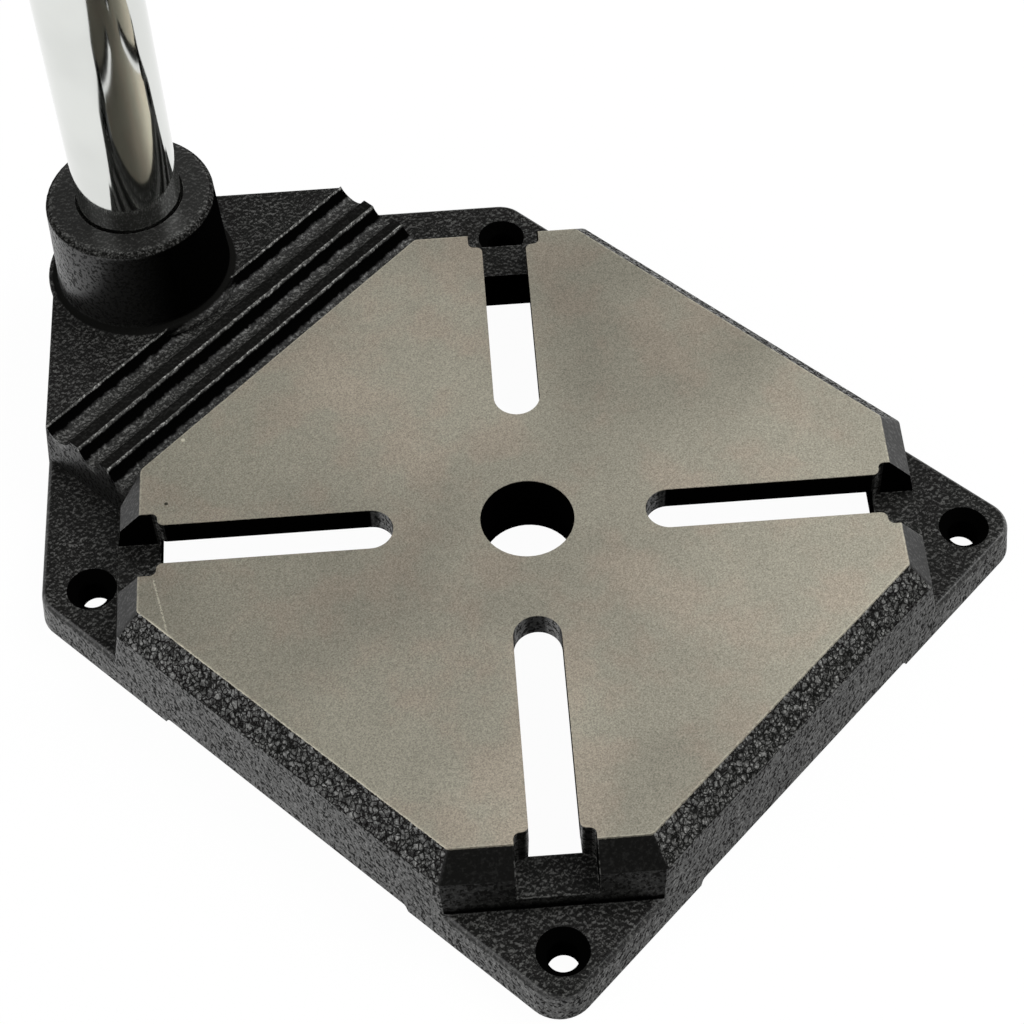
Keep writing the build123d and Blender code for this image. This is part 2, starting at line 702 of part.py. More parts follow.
# Rack: a square bar with straight-sided teeth on its front, plain where it lies in the bracket
with BuildPart() as rack:
    with BuildSketch(Plane.YZ.offset(-RACK_HALF)):
        with Locations((RACK_BACK, RACK_BOTTOM)):
            Rectangle(RACK_BACK - RACK_FRONT, BRACKET_TOP - RACK_BOTTOM, align=(Align.MAX, Align.MIN))
        gap_half = TOOTH_PITCH / 4 + BACKLASH / 2
        front_half = gap_half + RACK_ADDENDUM * FLANK
        root_half = gap_half - (RACK_ROOT - RACK_PITCH_Y) * FLANK
        for gap in range(-RACK_TEETH_BELOW + 1, RACK_TEETH_ABOVE + 1):
            z = PINION_Z + gap * TOOTH_PITCH
            with BuildLine(mode=Mode.PRIVATE) as tooth_gap:
                Polyline(
                    (RACK_FRONT, z - front_half),
                    (RACK_ROOT, z - root_half),
                    (RACK_ROOT, z + root_half),
                    (RACK_FRONT, z + front_half),
                    close=True,
                )
            make_face(tooth_gap.edges(), mode=Mode.SUBTRACT)
    extrude(amount=2 * RACK_HALF)
    with BuildSketch(Plane.XZ.offset(-RACK_FRONT)):
        with Locations((0, CLAMP_Z)):
            with GridLocations(1, RACK_SCREW_PITCH, 1, 2):
                Circle(M5_R)
    extrude(amount=-BRACKET_R, mode=Mode.SUBTRACT)
save(rack.part, "rack")

with BuildPart() as rack_screws:
    with BuildSketch(Plane.XZ.offset(-RACK_FRONT)):
        with Locations((0, CLAMP_Z)):
            with GridLocations(1, RACK_SCREW_PITCH, 1, 2):
                Circle(M5_R)
    extrude(amount=-(RACK_BACK - RACK_FRONT + RACK_SCREW_BITE - RACK_SCREW_END_GAP))
    with BuildSketch(Plane.XZ.offset(-RACK_FRONT)):
        with Locations((0, CLAMP_Z)):
            with GridLocations(1, RACK_SCREW_PITCH, 1, 2):
                Circle(M5_HEAD_R)
    extrude(amount=M5_HEAD)
    with BuildSketch(Plane.XZ.offset(-RACK_FRONT + M5_HEAD)):
        with Locations((0, CLAMP_Z)):
            with GridLocations(1, RACK_SCREW_PITCH, 1, 2):
                RegularPolygon(M5_KEY_HALF, 6, major_radius=False)
    extrude(amount=-M5_KEY_DEPTH, mode=Mode.SUBTRACT)
save(rack_screws.part, "rack_screws")

# Guide rod, screwed into the bracket's left lug, with the return spring under the carriage's lug
with BuildPart() as guide_rod:
    with BuildSketch(Plane.XY.offset(GUIDE_BOTTOM)):
        with Locations((GUIDE_X, COLUMN_Y)):
            Circle(ROD_R)
    extrude(amount=BRACKET_TOP + M8_HEIGHT + ROD_OUT - GUIDE_BOTTOM)
    chamfer(guide_rod.edges().filter_by(GeomType.CIRCLE), ROD_CHAMFER)
save(guide_rod.part, "guide_rod")

with BuildPart() as rod_nuts:
    upper_nut_z = SPRING_BOTTOM - SEAT_THICK - M8_HEIGHT
    lower_nut_z = upper_nut_z - NUT_GAP - M8_HEIGHT
    for nut_z in (lower_nut_z, upper_nut_z, BRACKET_TOP):
        with Locations((GUIDE_X, COLUMN_Y, nut_z)):
            add(m8_nut)
    with BuildSketch(Plane.XY.offset(lower_nut_z)):
        with Locations((GUIDE_X, COLUMN_Y)):
            Circle(ROD_R)
    extrude(amount=BRACKET_TOP + M8_HEIGHT - lower_nut_z, mode=Mode.SUBTRACT)
save(rod_nuts.part, "rod_nuts")

with BuildPart() as spring_seat_lower:
    with BuildSketch(Plane.XY.offset(SPRING_BOTTOM - SEAT_THICK)):
        with Locations((GUIDE_X, COLUMN_Y)):
            Circle(SEAT_R)
            Circle(ROD_R, mode=Mode.SUBTRACT)
    extrude(amount=SEAT_THICK)
save(spring_seat_lower.part, "spring_seat_lower")

with BuildPart() as spring_seat_upper:
    with BuildSketch(Plane.XY.offset(CARRIAGE_Z - SEAT_THICK)):
        with Locations((GUIDE_X, COLUMN_Y)):
            Circle(SEAT_R)
            Circle(ROD_R + RUNNING_GAP, mode=Mode.SUBTRACT)
    extrude(amount=SEAT_THICK)
save(spring_seat_upper.part, "spring_seat_upper")

with BuildPart() as return_spring:
    with BuildLine() as coil:
        lead = 2 * SPRING_WIRE_R
        first = spring_point(0)
        last = spring_point(SPRING_TURNS)
        Line(first - spring_tangent(0) * lead, first)
        for half_turn in range(2 * SPRING_TURNS):
            turn = half_turn / 2
            biarc(
                spring_point(turn),
                spring_tangent(turn),
                spring_point(turn + 0.5),
                spring_tangent(turn + 0.5),
            )
        Line(last, last + spring_tangent(SPRING_TURNS) * lead)
    with BuildSketch(coil.line ^ 0):
        Circle(SPRING_WIRE_R)
    sweep(path=coil.line)
save(return_spring.part, "return_spring")
wire_points = [spring_point(step / 24) for step in range(24 * SPRING_TURNS + 1)]
least_gap = min(
    (point - other).length - 2 * SPRING_WIRE_R
    for index, point in enumerate(wire_points)
    for other in wire_points[index + 12 : index + 37]
)
print("least gap of the spring to itself:", round(least_gap, 2), "mm")

# Carriage: column hub, pinion housing, arm and split collar in one casting
with BuildPart() as carriage:
    with BuildSketch(Plane.XY.offset(COLLAR_Z)) as arm_plan:
        Circle(COLLAR_OUTER_R)
        with Locations((0, CASE_FRONT)):
            Rectangle(2 * CASE_HALF, ARM_LAP, align=(Align.CENTER, Align.MIN))
        make_hull()
        with Locations((0, CASE_MIDDLE)):
            Rectangle(2 * CASE_HALF, CASE_BACK - CASE_FRONT)
        rear_corners = arm_plan.vertices().group_by(Axis.Y)[-1]
        fillet(rear_corners, CASE_CORNER_R)
    extrude(amount=CASE_TOP - COLLAR_Z)
    with BuildSketch(Plane.YZ.offset(-COLLAR_OUTER_R - CUT_OVER)):
        with BuildLine():
            Polyline(
                (-2 * COLLAR_OUTER_R, COLLAR_TOP),
                (ARM_SLOPE_START, COLLAR_TOP),
                (ARM_SLOPE_END, CASE_TOP),
                (ARM_SLOPE_END, CASE_TOP + CUT_OVER),
                (-2 * COLLAR_OUTER_R, CASE_TOP + CUT_OVER),
                close=True,
            )
        make_face()
    extrude(amount=2 * (COLLAR_OUTER_R + CUT_OVER), mode=Mode.SUBTRACT)
    with BuildSketch(Plane.XY.offset(CARRIAGE_Z)):
        with Locations((0, COLUMN_Y)):
            Circle(HUB_R)
    extrude(amount=CARRIAGE_HEIGHT)
    fillet(carriage.edges().group_by(Axis.Z)[-1], CAST_EDGE_R)
    with BuildSketch(Plane.XY.offset(CARRIAGE_Z)):
        add(lug_outline(HUB_R))
    extrude(amount=LUG_HEIGHT)
    fillet(carriage.faces().sort_by(Axis.Z)[0].edges(), CAST_EDGE_R)
    with BuildSketch(Plane.XY.offset(COLLAR_Z)):
        with Locations((0, -COLLAR_EAR_FRONT)):
            Rectangle(2 * COLLAR_EAR_HALF, COLLAR_EAR_FRONT, align=(Align.CENTER, Align.MIN))
    extrude(amount=COLLAR_HEIGHT)
    fillet(carriage.edges().filter_by(Axis.X).group_by(Axis.Y)[0], COLLAR_EAR_R)

    # Bores of the collar and the column, the split, the rack's way and the arm's pocket
    with Locations((0, 0, COLLAR_TOP)):
        Hole(COLLAR_R, depth=COLLAR_HEIGHT)
    with Locations((0, 0, COLLAR_Z)):
        Box(
            COLLAR_GAP,
            2 * COLLAR_OUTER_R,
            COLLAR_HEIGHT,
            align=(Align.CENTER, Align.MAX, Align.MIN),
            mode=Mode.SUBTRACT,
        )
    with Locations((0, COLUMN_Y, CARRIAGE_TOP)):
        Hole(COLUMN_R + RUNNING_GAP, depth=CARRIAGE_HEIGHT)
    with Locations((0, RACK_BACK + SLIDE_GAP, CARRIAGE_Z)):
        Box(
            2 * (RACK_HALF + SLIDE_GAP),
            RACK_BACK - RACK_FRONT + 2 * SLIDE_GAP,
            CARRIAGE_HEIGHT,
            align=(Align.CENTER, Align.MAX, Align.MIN),
            mode=Mode.SUBTRACT,
        )
    with BuildSketch(Plane.XY.offset(COLLAR_Z)):
        with Locations((0, sum(ARM_POCKET) / 2)):
            Rectangle(CASE_HALF, ARM_POCKET[1] - ARM_POCKET[0])
    extrude(amount=COLLAR_HEIGHT - ARM_SKIN, mode=Mode.SUBTRACT)

    # Pinion chamber and the seats of the two bushes
    with BuildSketch(Plane.YZ.offset(-PINION_HALF - BUSH_INSET)):
        with Locations((PINION_Y, PINION_Z)):
            Circle(PITCH_R + PINION_ADDENDUM + CHAMBER_GAP)
    extrude(amount=2 * (PINION_HALF + BUSH_INSET), mode=Mode.SUBTRACT)
    with BuildSketch(Plane.YZ.offset(PINION_HALF + BUSH_INSET)):
        with Locations((PINION_Y, PINION_Z)):
            Circle(RIGHT_BUSH_R)
    extrude(amount=CASE_HALF, mode=Mode.SUBTRACT)
    with BuildSketch(Plane.YZ.offset(-PINION_HALF - BUSH_INSET)):
        with Locations((PINION_Y, PINION_Z)):
            Circle(LEFT_BUSH_R)
    extrude(amount=-CASE_HALF, mode=Mode.SUBTRACT)

    # Holes for the guide rod, the depth rod and the collar's bolt
    with Locations((GUIDE_X, COLUMN_Y, CARRIAGE_Z + LUG_HEIGHT)):
        Hole(ROD_R + RUNNING_GAP, depth=LUG_HEIGHT)
    with Locations((DEPTH_X, COLUMN_Y, CARRIAGE_Z + LUG_HEIGHT)):
        Hole(ROD_R, depth=LUG_HEIGHT)
    with BuildSketch(Plane.YZ.offset(-COLLAR_EAR_HALF - CUT_OVER)):
        with Locations((COLLAR_BOLT_Y, COLLAR_BOLT_Z)):
            Circle(M6_R)
    extrude(amount=2 * (COLLAR_EAR_HALF + CUT_OVER), mode=Mode.SUBTRACT)
save(carriage.part, "carriage")

# Bushes of the pinion shaft
with BuildPart() as left_bush:
    with BuildSketch(Plane.YZ.offset(-CASE_HALF)):
        with Locations((PINION_Y, PINION_Z)):
            Circle(LEFT_BUSH_R)
            Circle(LEFT_JOURNAL_R + RUNNING_GAP, mode=Mode.SUBTRACT)
    extrude(amount=CASE_HALF - PINION_HALF - BUSH_INSET)
save(left_bush.part, "left_bush")

with BuildPart() as right_bush:
    with BuildSketch(Plane.YZ.offset(PINION_HALF + BUSH_INSET)):
        with Locations((PINION_Y, PINION_Z)):
            Circle(RIGHT_BUSH_R)
            Circle(JOURNAL_R + RUNNING_GAP, mode=Mode.SUBTRACT)
    extrude(amount=CASE_HALF - PINION_HALF - BUSH_INSET)
save(right_bush.part, "right_bush")

# Pinion shaft: the teeth are cut in the shaft, with a journal on each side
with BuildPart() as pinion_shaft:
    with BuildSketch(Plane.YZ.offset(-PINION_HALF)):
        with Locations((PINION_Y, PINION_Z)):
            Circle(PITCH_R - RACK_ADDENDUM - TOOTH_CLEARANCE)
            base_r = PITCH_R * cos(radians(PRESSURE_ANGLE))
            middle_r = PITCH_R + PINION_MIDDLE
            tip_r = PITCH_R + PINION_ADDENDUM
            root_r = PITCH_R - RACK_ADDENDUM - 2 * TOOTH_CLEARANCE
            base_angle = pinion_half_angle(base_r)
            middle_angle = pinion_half_angle(middle_r)
            tip_angle = pinion_half_angle(tip_r)
            with BuildLine(mode=Mode.PRIVATE) as tooth:
                Line((root_r, 0), (root_r * cos(base_angle), root_r * sin(base_angle)))
                Line(
                    (root_r * cos(base_angle), root_r * sin(base_angle)),
                    (base_r * cos(base_angle), base_r * sin(base_angle)),
                )
                ThreePointArc(
                    (base_r * cos(base_angle), base_r * sin(base_angle)),
                    (middle_r * cos(middle_angle), middle_r * sin(middle_angle)),
                    (tip_r * cos(tip_angle), tip_r * sin(tip_angle)),
                )
                Line((tip_r * cos(tip_angle), tip_r * sin(tip_angle)), (tip_r, 0))
                mirror(about=Plane.XZ)
            tooth_face = make_face(tooth.edges(), mode=Mode.PRIVATE)
            with PolarLocations(0, PINION_TEETH):
                add(tooth_face)
    extrude(amount=2 * PINION_HALF)
    for start, end, radius in (
        (-CASE_HALF - LEFT_END, -PINION_HALF, LEFT_JOURNAL_R),
        (PINION_HALF, FEED_HUB_X, JOURNAL_R),
        (FEED_HUB_X, FEED_HUB_END, FEED_SEAT_R),
    ):
        with BuildSketch(Plane.YZ.offset(start)):
            with Locations((PINION_Y, PINION_Z)):
                Circle(radius)
        extrude(amount=end - start)
    with BuildSketch(Plane.YZ.offset(RING_GROOVE_X)):
        with Locations((PINION_Y, PINION_Z)):
            Circle(SHAFT_RING_R)
            Circle(LEFT_JOURNAL_R - RING_GROOVE, mode=Mode.SUBTRACT)
    extrude(amount=RING_GROOVE, mode=Mode.SUBTRACT)
    with Locations((HUB_PIN_X, PINION_Y, PINION_Z)):
        Cylinder(HUB_PIN_R, 3 * FEED_HUB_R, mode=Mode.SUBTRACT)
save(pinion_shaft.part, "pinion_shaft")

with BuildPart() as shaft_ring:
    with BuildSketch(Plane.YZ.offset(RING_GROOVE_X)):
        with Locations((PINION_Y, PINION_Z)):
            Circle(SHAFT_RING_R)
            Circle(LEFT_JOURNAL_R - RING_GROOVE, mode=Mode.SUBTRACT)
            Rectangle(
                2 * SHAFT_RING_R,
                SHAFT_RING_MOUTH,
                align=(Align.MIN, Align.CENTER),
                mode=Mode.SUBTRACT,
            )
    extrude(amount=RING_GROOVE)
save(shaft_ring.part, "shaft_ring")

# Feed handle: hub, pin, spokes and knobs, each spoke along the normal of its own plane
spoke_angles = [radians(SPOKE_ANGLE + spoke * 360 / SPOKE_COUNT) for spoke in range(SPOKE_COUNT)]
spoke_planes = [
    Plane(origin=(SPOKE_X, PINION_Y, PINION_Z), x_dir=(1, 0, 0), z_dir=(0, cos(angle), sin(angle)))
    for angle in spoke_angles
]
with BuildPart() as feed_hub:
    with BuildSketch(Plane.YZ.offset(FEED_HUB_X)):
        with Locations((PINION_Y, PINION_Z)):
            Circle(FEED_HUB_R)
    extrude(amount=FEED_HUB_END - FEED_HUB_X)
    fillet(feed_hub.edges().filter_by(GeomType.CIRCLE), FEED_HUB_EDGE_R)
    with BuildSketch(Plane.YZ.offset(FEED_HUB_X)):
        with Locations((PINION_Y, PINION_Z)):
            Circle(FEED_SEAT_R)
    extrude(amount=FEED_HUB_END - FEED_HUB_X, mode=Mode.SUBTRACT)
    with Locations((HUB_PIN_X, PINION_Y, PINION_Z)):
        Cylinder(HUB_PIN_R, 3 * FEED_HUB_R, mode=Mode.SUBTRACT)
    for spoke_plane in spoke_planes:
        with BuildSketch(spoke_plane.offset(SPOKE_START)):
            Circle(SPOKE_R)
        extrude(amount=SPOKE_HOLE, mode=Mode.SUBTRACT)
save(feed_hub.part, "feed_hub")

with BuildPart() as hub_pin:
    with Locations((HUB_PIN_X, PINION_Y, PINION_Z)):
        Cylinder(HUB_PIN_R, HUB_PIN_LENGTH)
save(hub_pin.part, "hub_pin")

with BuildPart() as feed_spokes:
    for spoke_plane in spoke_planes:
        with BuildSketch(spoke_plane.offset(SPOKE_START)):
            Circle(SPOKE_R)
        extrude(amount=SPOKE_END - SPOKE_START)
save(feed_spokes.part, "feed_spokes")

with BuildPart() as ball_knobs:
    for spoke_plane in spoke_planes:
        with Locations(spoke_plane.offset(KNOB_CENTRE)):
            Sphere(KNOB_R)
        with BuildSketch(spoke_plane.offset(KNOB_FOOT)):
            Circle(KNOB_NECK_R)
        extrude(amount=KNOB_CENTRE - KNOB_FOOT)
        with BuildSketch(spoke_plane.offset(KNOB_FOOT)):
            Circle(SPOKE_R)
        extrude(amount=SPOKE_END - KNOB_FOOT, mode=Mode.SUBTRACT)
save(ball_knobs.part, "ball_knobs")

# Depth stop: a rod screwed into the carriage's right lug, and a ring that meets the bracket's lug
with BuildPart() as depth_rod:
    with BuildSketch(Plane.XY.offset(CARRIAGE_Z)):
        with Locations((DEPTH_X, COLUMN_Y)):
            Circle(ROD_R)
    extrude(amount=DEPTH_TOP - CARRIAGE_Z)
    chamfer(depth_rod.edges().filter_by(GeomType.CIRCLE), ROD_CHAMFER)
save(depth_rod.part, "depth_rod")

with BuildPart() as depth_rod_nut:
    with Locations((DEPTH_X, COLUMN_Y, CARRIAGE_Z + LUG_HEIGHT)):
        add(m8_nut)
    with Locations((DEPTH_X, COLUMN_Y, CARRIAGE_Z + LUG_HEIGHT + M8_HEIGHT)):
        Hole(ROD_R, depth=M8_HEIGHT)
save(depth_rod_nut.part, "depth_rod_nut")

with BuildPart() as depth_stop_ring:
    with BuildSketch(Plane.XY.offset(RING_Z)):
        with Locations((DEPTH_X, COLUMN_Y)):
            Circle(RING_R)
            Circle(ROD_R + RUNNING_GAP, mode=Mode.SUBTRACT)
    extrude(amount=RING_HEIGHT)
    with BuildSketch(Plane.XZ.offset(-COLUMN_Y)):
        with Locations((DEPTH_X, RING_Z + RING_HEIGHT / 2)):
            Circle(THUMB_SHANK_R + RUNNING_GAP)
    extrude(amount=-RING_R - CUT_OVER, mode=Mode.SUBTRACT)
save(depth_stop_ring.part, "depth_stop_ring")

with BuildPart() as depth_thumb_screw:
    with BuildSketch(Plane.XZ.offset(-COLUMN_Y - ROD_R - RUNNING_GAP)):
        with Locations((DEPTH_X, RING_Z + RING_HEIGHT / 2)):
            Circle(THUMB_SHANK_R)
    extrude(amount=-RING_R)
    with BuildSketch(Plane.XZ.offset(-COLUMN_Y - RING_R - THUMB_HEAD_GAP)):
        with Locations((DEPTH_X, RING_Z + RING_HEIGHT / 2)):
            Circle(THUMB_HEAD_R)
            with PolarLocations(THUMB_FLUTE_OUT, THUMB_FLUTES):
                Circle(THUMB_FLUTE_R, mode=Mode.SUBTRACT)
    extrude(amount=-THUMB_HEAD)
save(depth_thumb_screw.part, "depth_thumb_screw")

# Clamp screw of the drill collar
with BuildPart() as collar_bolt:
    with BuildSketch(Plane.YZ.offset(-COLLAR_EAR_HALF)):
        with Locations((COLLAR_BOLT_Y, COLLAR_BOLT_Z)):
            Circle(M6_R)
    extrude(amount=2 * COLLAR_EAR_HALF + M6_HEIGHT + BOLT_END)
    with BuildSketch(Plane.YZ.offset(-COLLAR_EAR_HALF)):
        with Locations((COLLAR_BOLT_Y, COLLAR_BOLT_Z)):
            Circle(M6_HEAD_R)
    extrude(amount=-M6_HEAD)
    with BuildSketch(Plane.YZ.offset(-COLLAR_EAR_HALF - M6_HEAD)):
        with Locations((COLLAR_BOLT_Y, COLLAR_BOLT_Z)):
            RegularPolygon(M6_KEY_HALF, 6, major_radius=False)
    extrude(amount=M6_KEY_DEPTH, mode=Mode.SUBTRACT)
save(collar_bolt.part, "collar_bolt")

with BuildPart() as collar_nut:
    nut_seat = Plane((COLLAR_EAR_HALF, COLLAR_BOLT_Y, COLLAR_BOLT_Z), x_dir=(0, 1, 0), z_dir=(1, 0, 0))
    with Locations(nut_seat):
        add(m6_nut)
    with BuildSketch(Plane.YZ.offset(COLLAR_EAR_HALF)):
        with Locations((COLLAR_BOLT_Y, COLLAR_BOLT_Z)):
            Circle(M6_R)
    extrude(amount=M6_HEIGHT, mode=Mode.SUBTRACT)
save(collar_nut.part, "collar_nut")
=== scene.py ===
"""Finishes for a drill stand: a cast base with a ground table, a chromed column and a sprung feed head.

Every piece of the frame gets the finish of the real one. The two rods get their threads, and the return
spring is wound from wire.
"""

import json
import math

import bmesh
import bpy
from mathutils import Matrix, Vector


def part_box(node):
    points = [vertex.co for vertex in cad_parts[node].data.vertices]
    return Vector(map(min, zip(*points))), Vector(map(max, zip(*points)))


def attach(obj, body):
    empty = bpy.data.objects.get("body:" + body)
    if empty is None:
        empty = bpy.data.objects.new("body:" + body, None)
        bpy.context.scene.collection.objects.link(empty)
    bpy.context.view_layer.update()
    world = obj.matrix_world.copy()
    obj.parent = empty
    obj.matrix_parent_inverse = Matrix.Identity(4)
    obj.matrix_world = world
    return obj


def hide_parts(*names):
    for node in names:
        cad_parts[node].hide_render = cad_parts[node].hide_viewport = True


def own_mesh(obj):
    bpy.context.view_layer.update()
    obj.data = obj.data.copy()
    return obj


bl_info = {
    "name": "Drill Stand Finishes",
    "version": (1, 0, 0),
    "blender": (4, 5, 0),
    "location": "3D View > Sidebar > Drill Stand",
    "description": "Dresses the drill stand's pieces and sets up a plain studio",
    "category": "Object",
}

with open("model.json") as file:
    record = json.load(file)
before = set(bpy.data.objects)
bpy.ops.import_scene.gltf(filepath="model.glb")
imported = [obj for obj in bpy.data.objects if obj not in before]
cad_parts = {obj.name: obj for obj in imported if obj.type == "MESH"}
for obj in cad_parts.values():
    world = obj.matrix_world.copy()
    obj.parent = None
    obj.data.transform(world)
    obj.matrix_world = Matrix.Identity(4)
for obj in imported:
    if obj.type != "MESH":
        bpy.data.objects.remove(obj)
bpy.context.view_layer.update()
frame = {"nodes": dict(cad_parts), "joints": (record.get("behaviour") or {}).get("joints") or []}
NODES = frame["nodes"]

MM = 0.001
WHITE = (1.0, 1.0, 1.0, 1.0)
BLACK = (0.0, 0.0, 0.0, 1.0)

# What settings of one kind have in common
COLOUR = {"subtype": "COLOR", "size": 3, "min": 0.0, "max": 1.0}
SHARE = {"subtype": "FACTOR", "min": 0.0, "max": 1.0}

# Soft limits of the base's faces, in millimetres: a mask is 0 at the first number and 1 at the second
TABLE_PART = (79.2, 78.6)
TABLE_FACE = (23.74, 23.86)
SLOPE_FOOT = (17.9, 18.5)
EAR_EDGE_TOP = (9.2, 8.8)
EAR_EDGE_FOOT = (5.5, 6.8)
EAR_HOLE_REACH = (6.3, 5.9)
CUT_WALL_FOOT = (9.0, 9.4)
CUT_WALL_SHADE = (11.6, 9.8)
WORN_FROM = (9.6, 10.2)
SOCKET_REACH = (25.0, 24.2)
SOCKET_FOOT = (20.0, 20.6)
SOCKET_RIM_HEIGHT = (43.8, 44.5)
SOCKET_RIM_REACH = (17.6, 18.8)
RIDGES_FRONT = (78.4, 78.9)
RIDGES_BACK = (107.6, 107.2)
RIDGES_FOOT = (15.5, 16.5)
CREST_HEIGHT = (19.3, 19.9)

# The same for the direction of a face, by a part of its normal
FACES_UP = (0.9, 0.97)
NOT_UP = (0.97, 0.9)
LEANS_UP = (0.2, 0.45)
STANDS = (0.45, 0.2)
FACES_FRONT = (0.6, 0.9)

# Other places on the base, in millimetres
EAR_HOLE = 71.5
TABLE_SIDE = 75.0
TABLE_FRONT = -73.4
TABLE_BACK = 77.6
FRONT_CUTS = 83.7
BACK_CUTS = 88.0
COVES = ((81.65, 3.92, 85.61), (91.9, 3.62, 95.57), (102.75, 4.3, 106.75))
RACK_GAPS = (99.2, 100.6)

# Broad clouds painted as the table's reflection, and old marks of the table: small spots and one scratch; clouds
# and spots as centre, radius and strength
REFLECTION_CLOUDS = (
    ((-59.0, -29.0), 45.0, 0.16),
    ((20.0, 47.0), 40.0, 0.10),
    ((66.0, 18.0), 45.0, -0.16),
    ((-40.0, -66.0), 25.0, -0.07),
)
SPOTS = (((-50.0, 66.0), 0.6, 0.15), ((-34.4, 76.4), 0.6, 1.9))
SCRATCH = ((-66.6, 53.1), (-74.8, 40.1), 0.28)

# Lathe marks, knurl and threads, in millimetres
RING_PITCH = 0.35
KNURL_RISE = 1.1
THREAD_DEPTH = 0.62
ROD_CHAMFER = 0.6
ROD_SIDES = 28
ROWS_PER_THREAD = 8
WIRE_SIDES = 10
WIRE_STEPS_PER_TURN = 36

# The studio, in metres
FLOOR_HALF = 6.0
SOFTBOX_SIDE = 0.9
RIGHT_LAMP = Vector((0.75, -0.35, 0.95))
LEFT_LAMP = Vector((-0.95, 0.55, 0.8))
LAMP_TARGET = Vector((0.0, 0.04, 0.05))
BOARD_PLACE = Vector((-0.35, -0.95, 1.0))
SENSOR_MM = 36.0


class Signal:
    """One output of a node. Arithmetic on it adds Math nodes, also with a plain number on the left."""

    def __init__(self, finish, socket):
        self.finish = finish
        self.socket = socket

    def out(self, name):
        """Another output of the same node."""
        return Signal(self.finish, self.socket.node.outputs[name])

    def __add__(self, other):
        return self.finish.math("ADD", self, other)

    def __radd__(self, other):
        return self.finish.math("ADD", other, self)

    def __sub__(self, other):
        return self.finish.math("SUBTRACT", self, other)

    def __rsub__(self, other):
        return self.finish.math("SUBTRACT", other, self)

    def __mul__(self, other):
        return self.finish.math("MULTIPLY", self, other)

    def __rmul__(self, other):
        return self.finish.math("MULTIPLY", other, self)

    def __truediv__(self, other):
        return self.finish.math("DIVIDE", self, other)

    def __rtruediv__(self, other):
        return self.finish.math("DIVIDE", other, self)

    def __pow__(self, other):
        return self.finish.math("POWER", self, other)

    def __neg__(self):
        return self.finish.math("SUBTRACT", 0.0, self)

    def __abs__(self):
        return self.finish.math("ABSOLUTE", self)

    def either(self, other):
        """The larger of two values."""
        return self.finish.math("MAXIMUM", self, other)

    def both(self, other):
        """The smaller of two values."""
        return self.finish.math("MINIMUM", self, other)

    def sine(self):
        """Sine of an angle in radians."""
        return self.finish.math("SINE", self)

    def step(self, low, high):
        """0 below low and 1 above high, with a smooth change between; falling where low is the larger."""
        if low > high:
            return 1 - self.step(high, low)
        inputs = {"Value": self, "From Min": low, "From Max": high}
        return self.finish.node("ShaderNodeMapRange", {"interpolation_type": "SMOOTHSTEP"}, inputs)


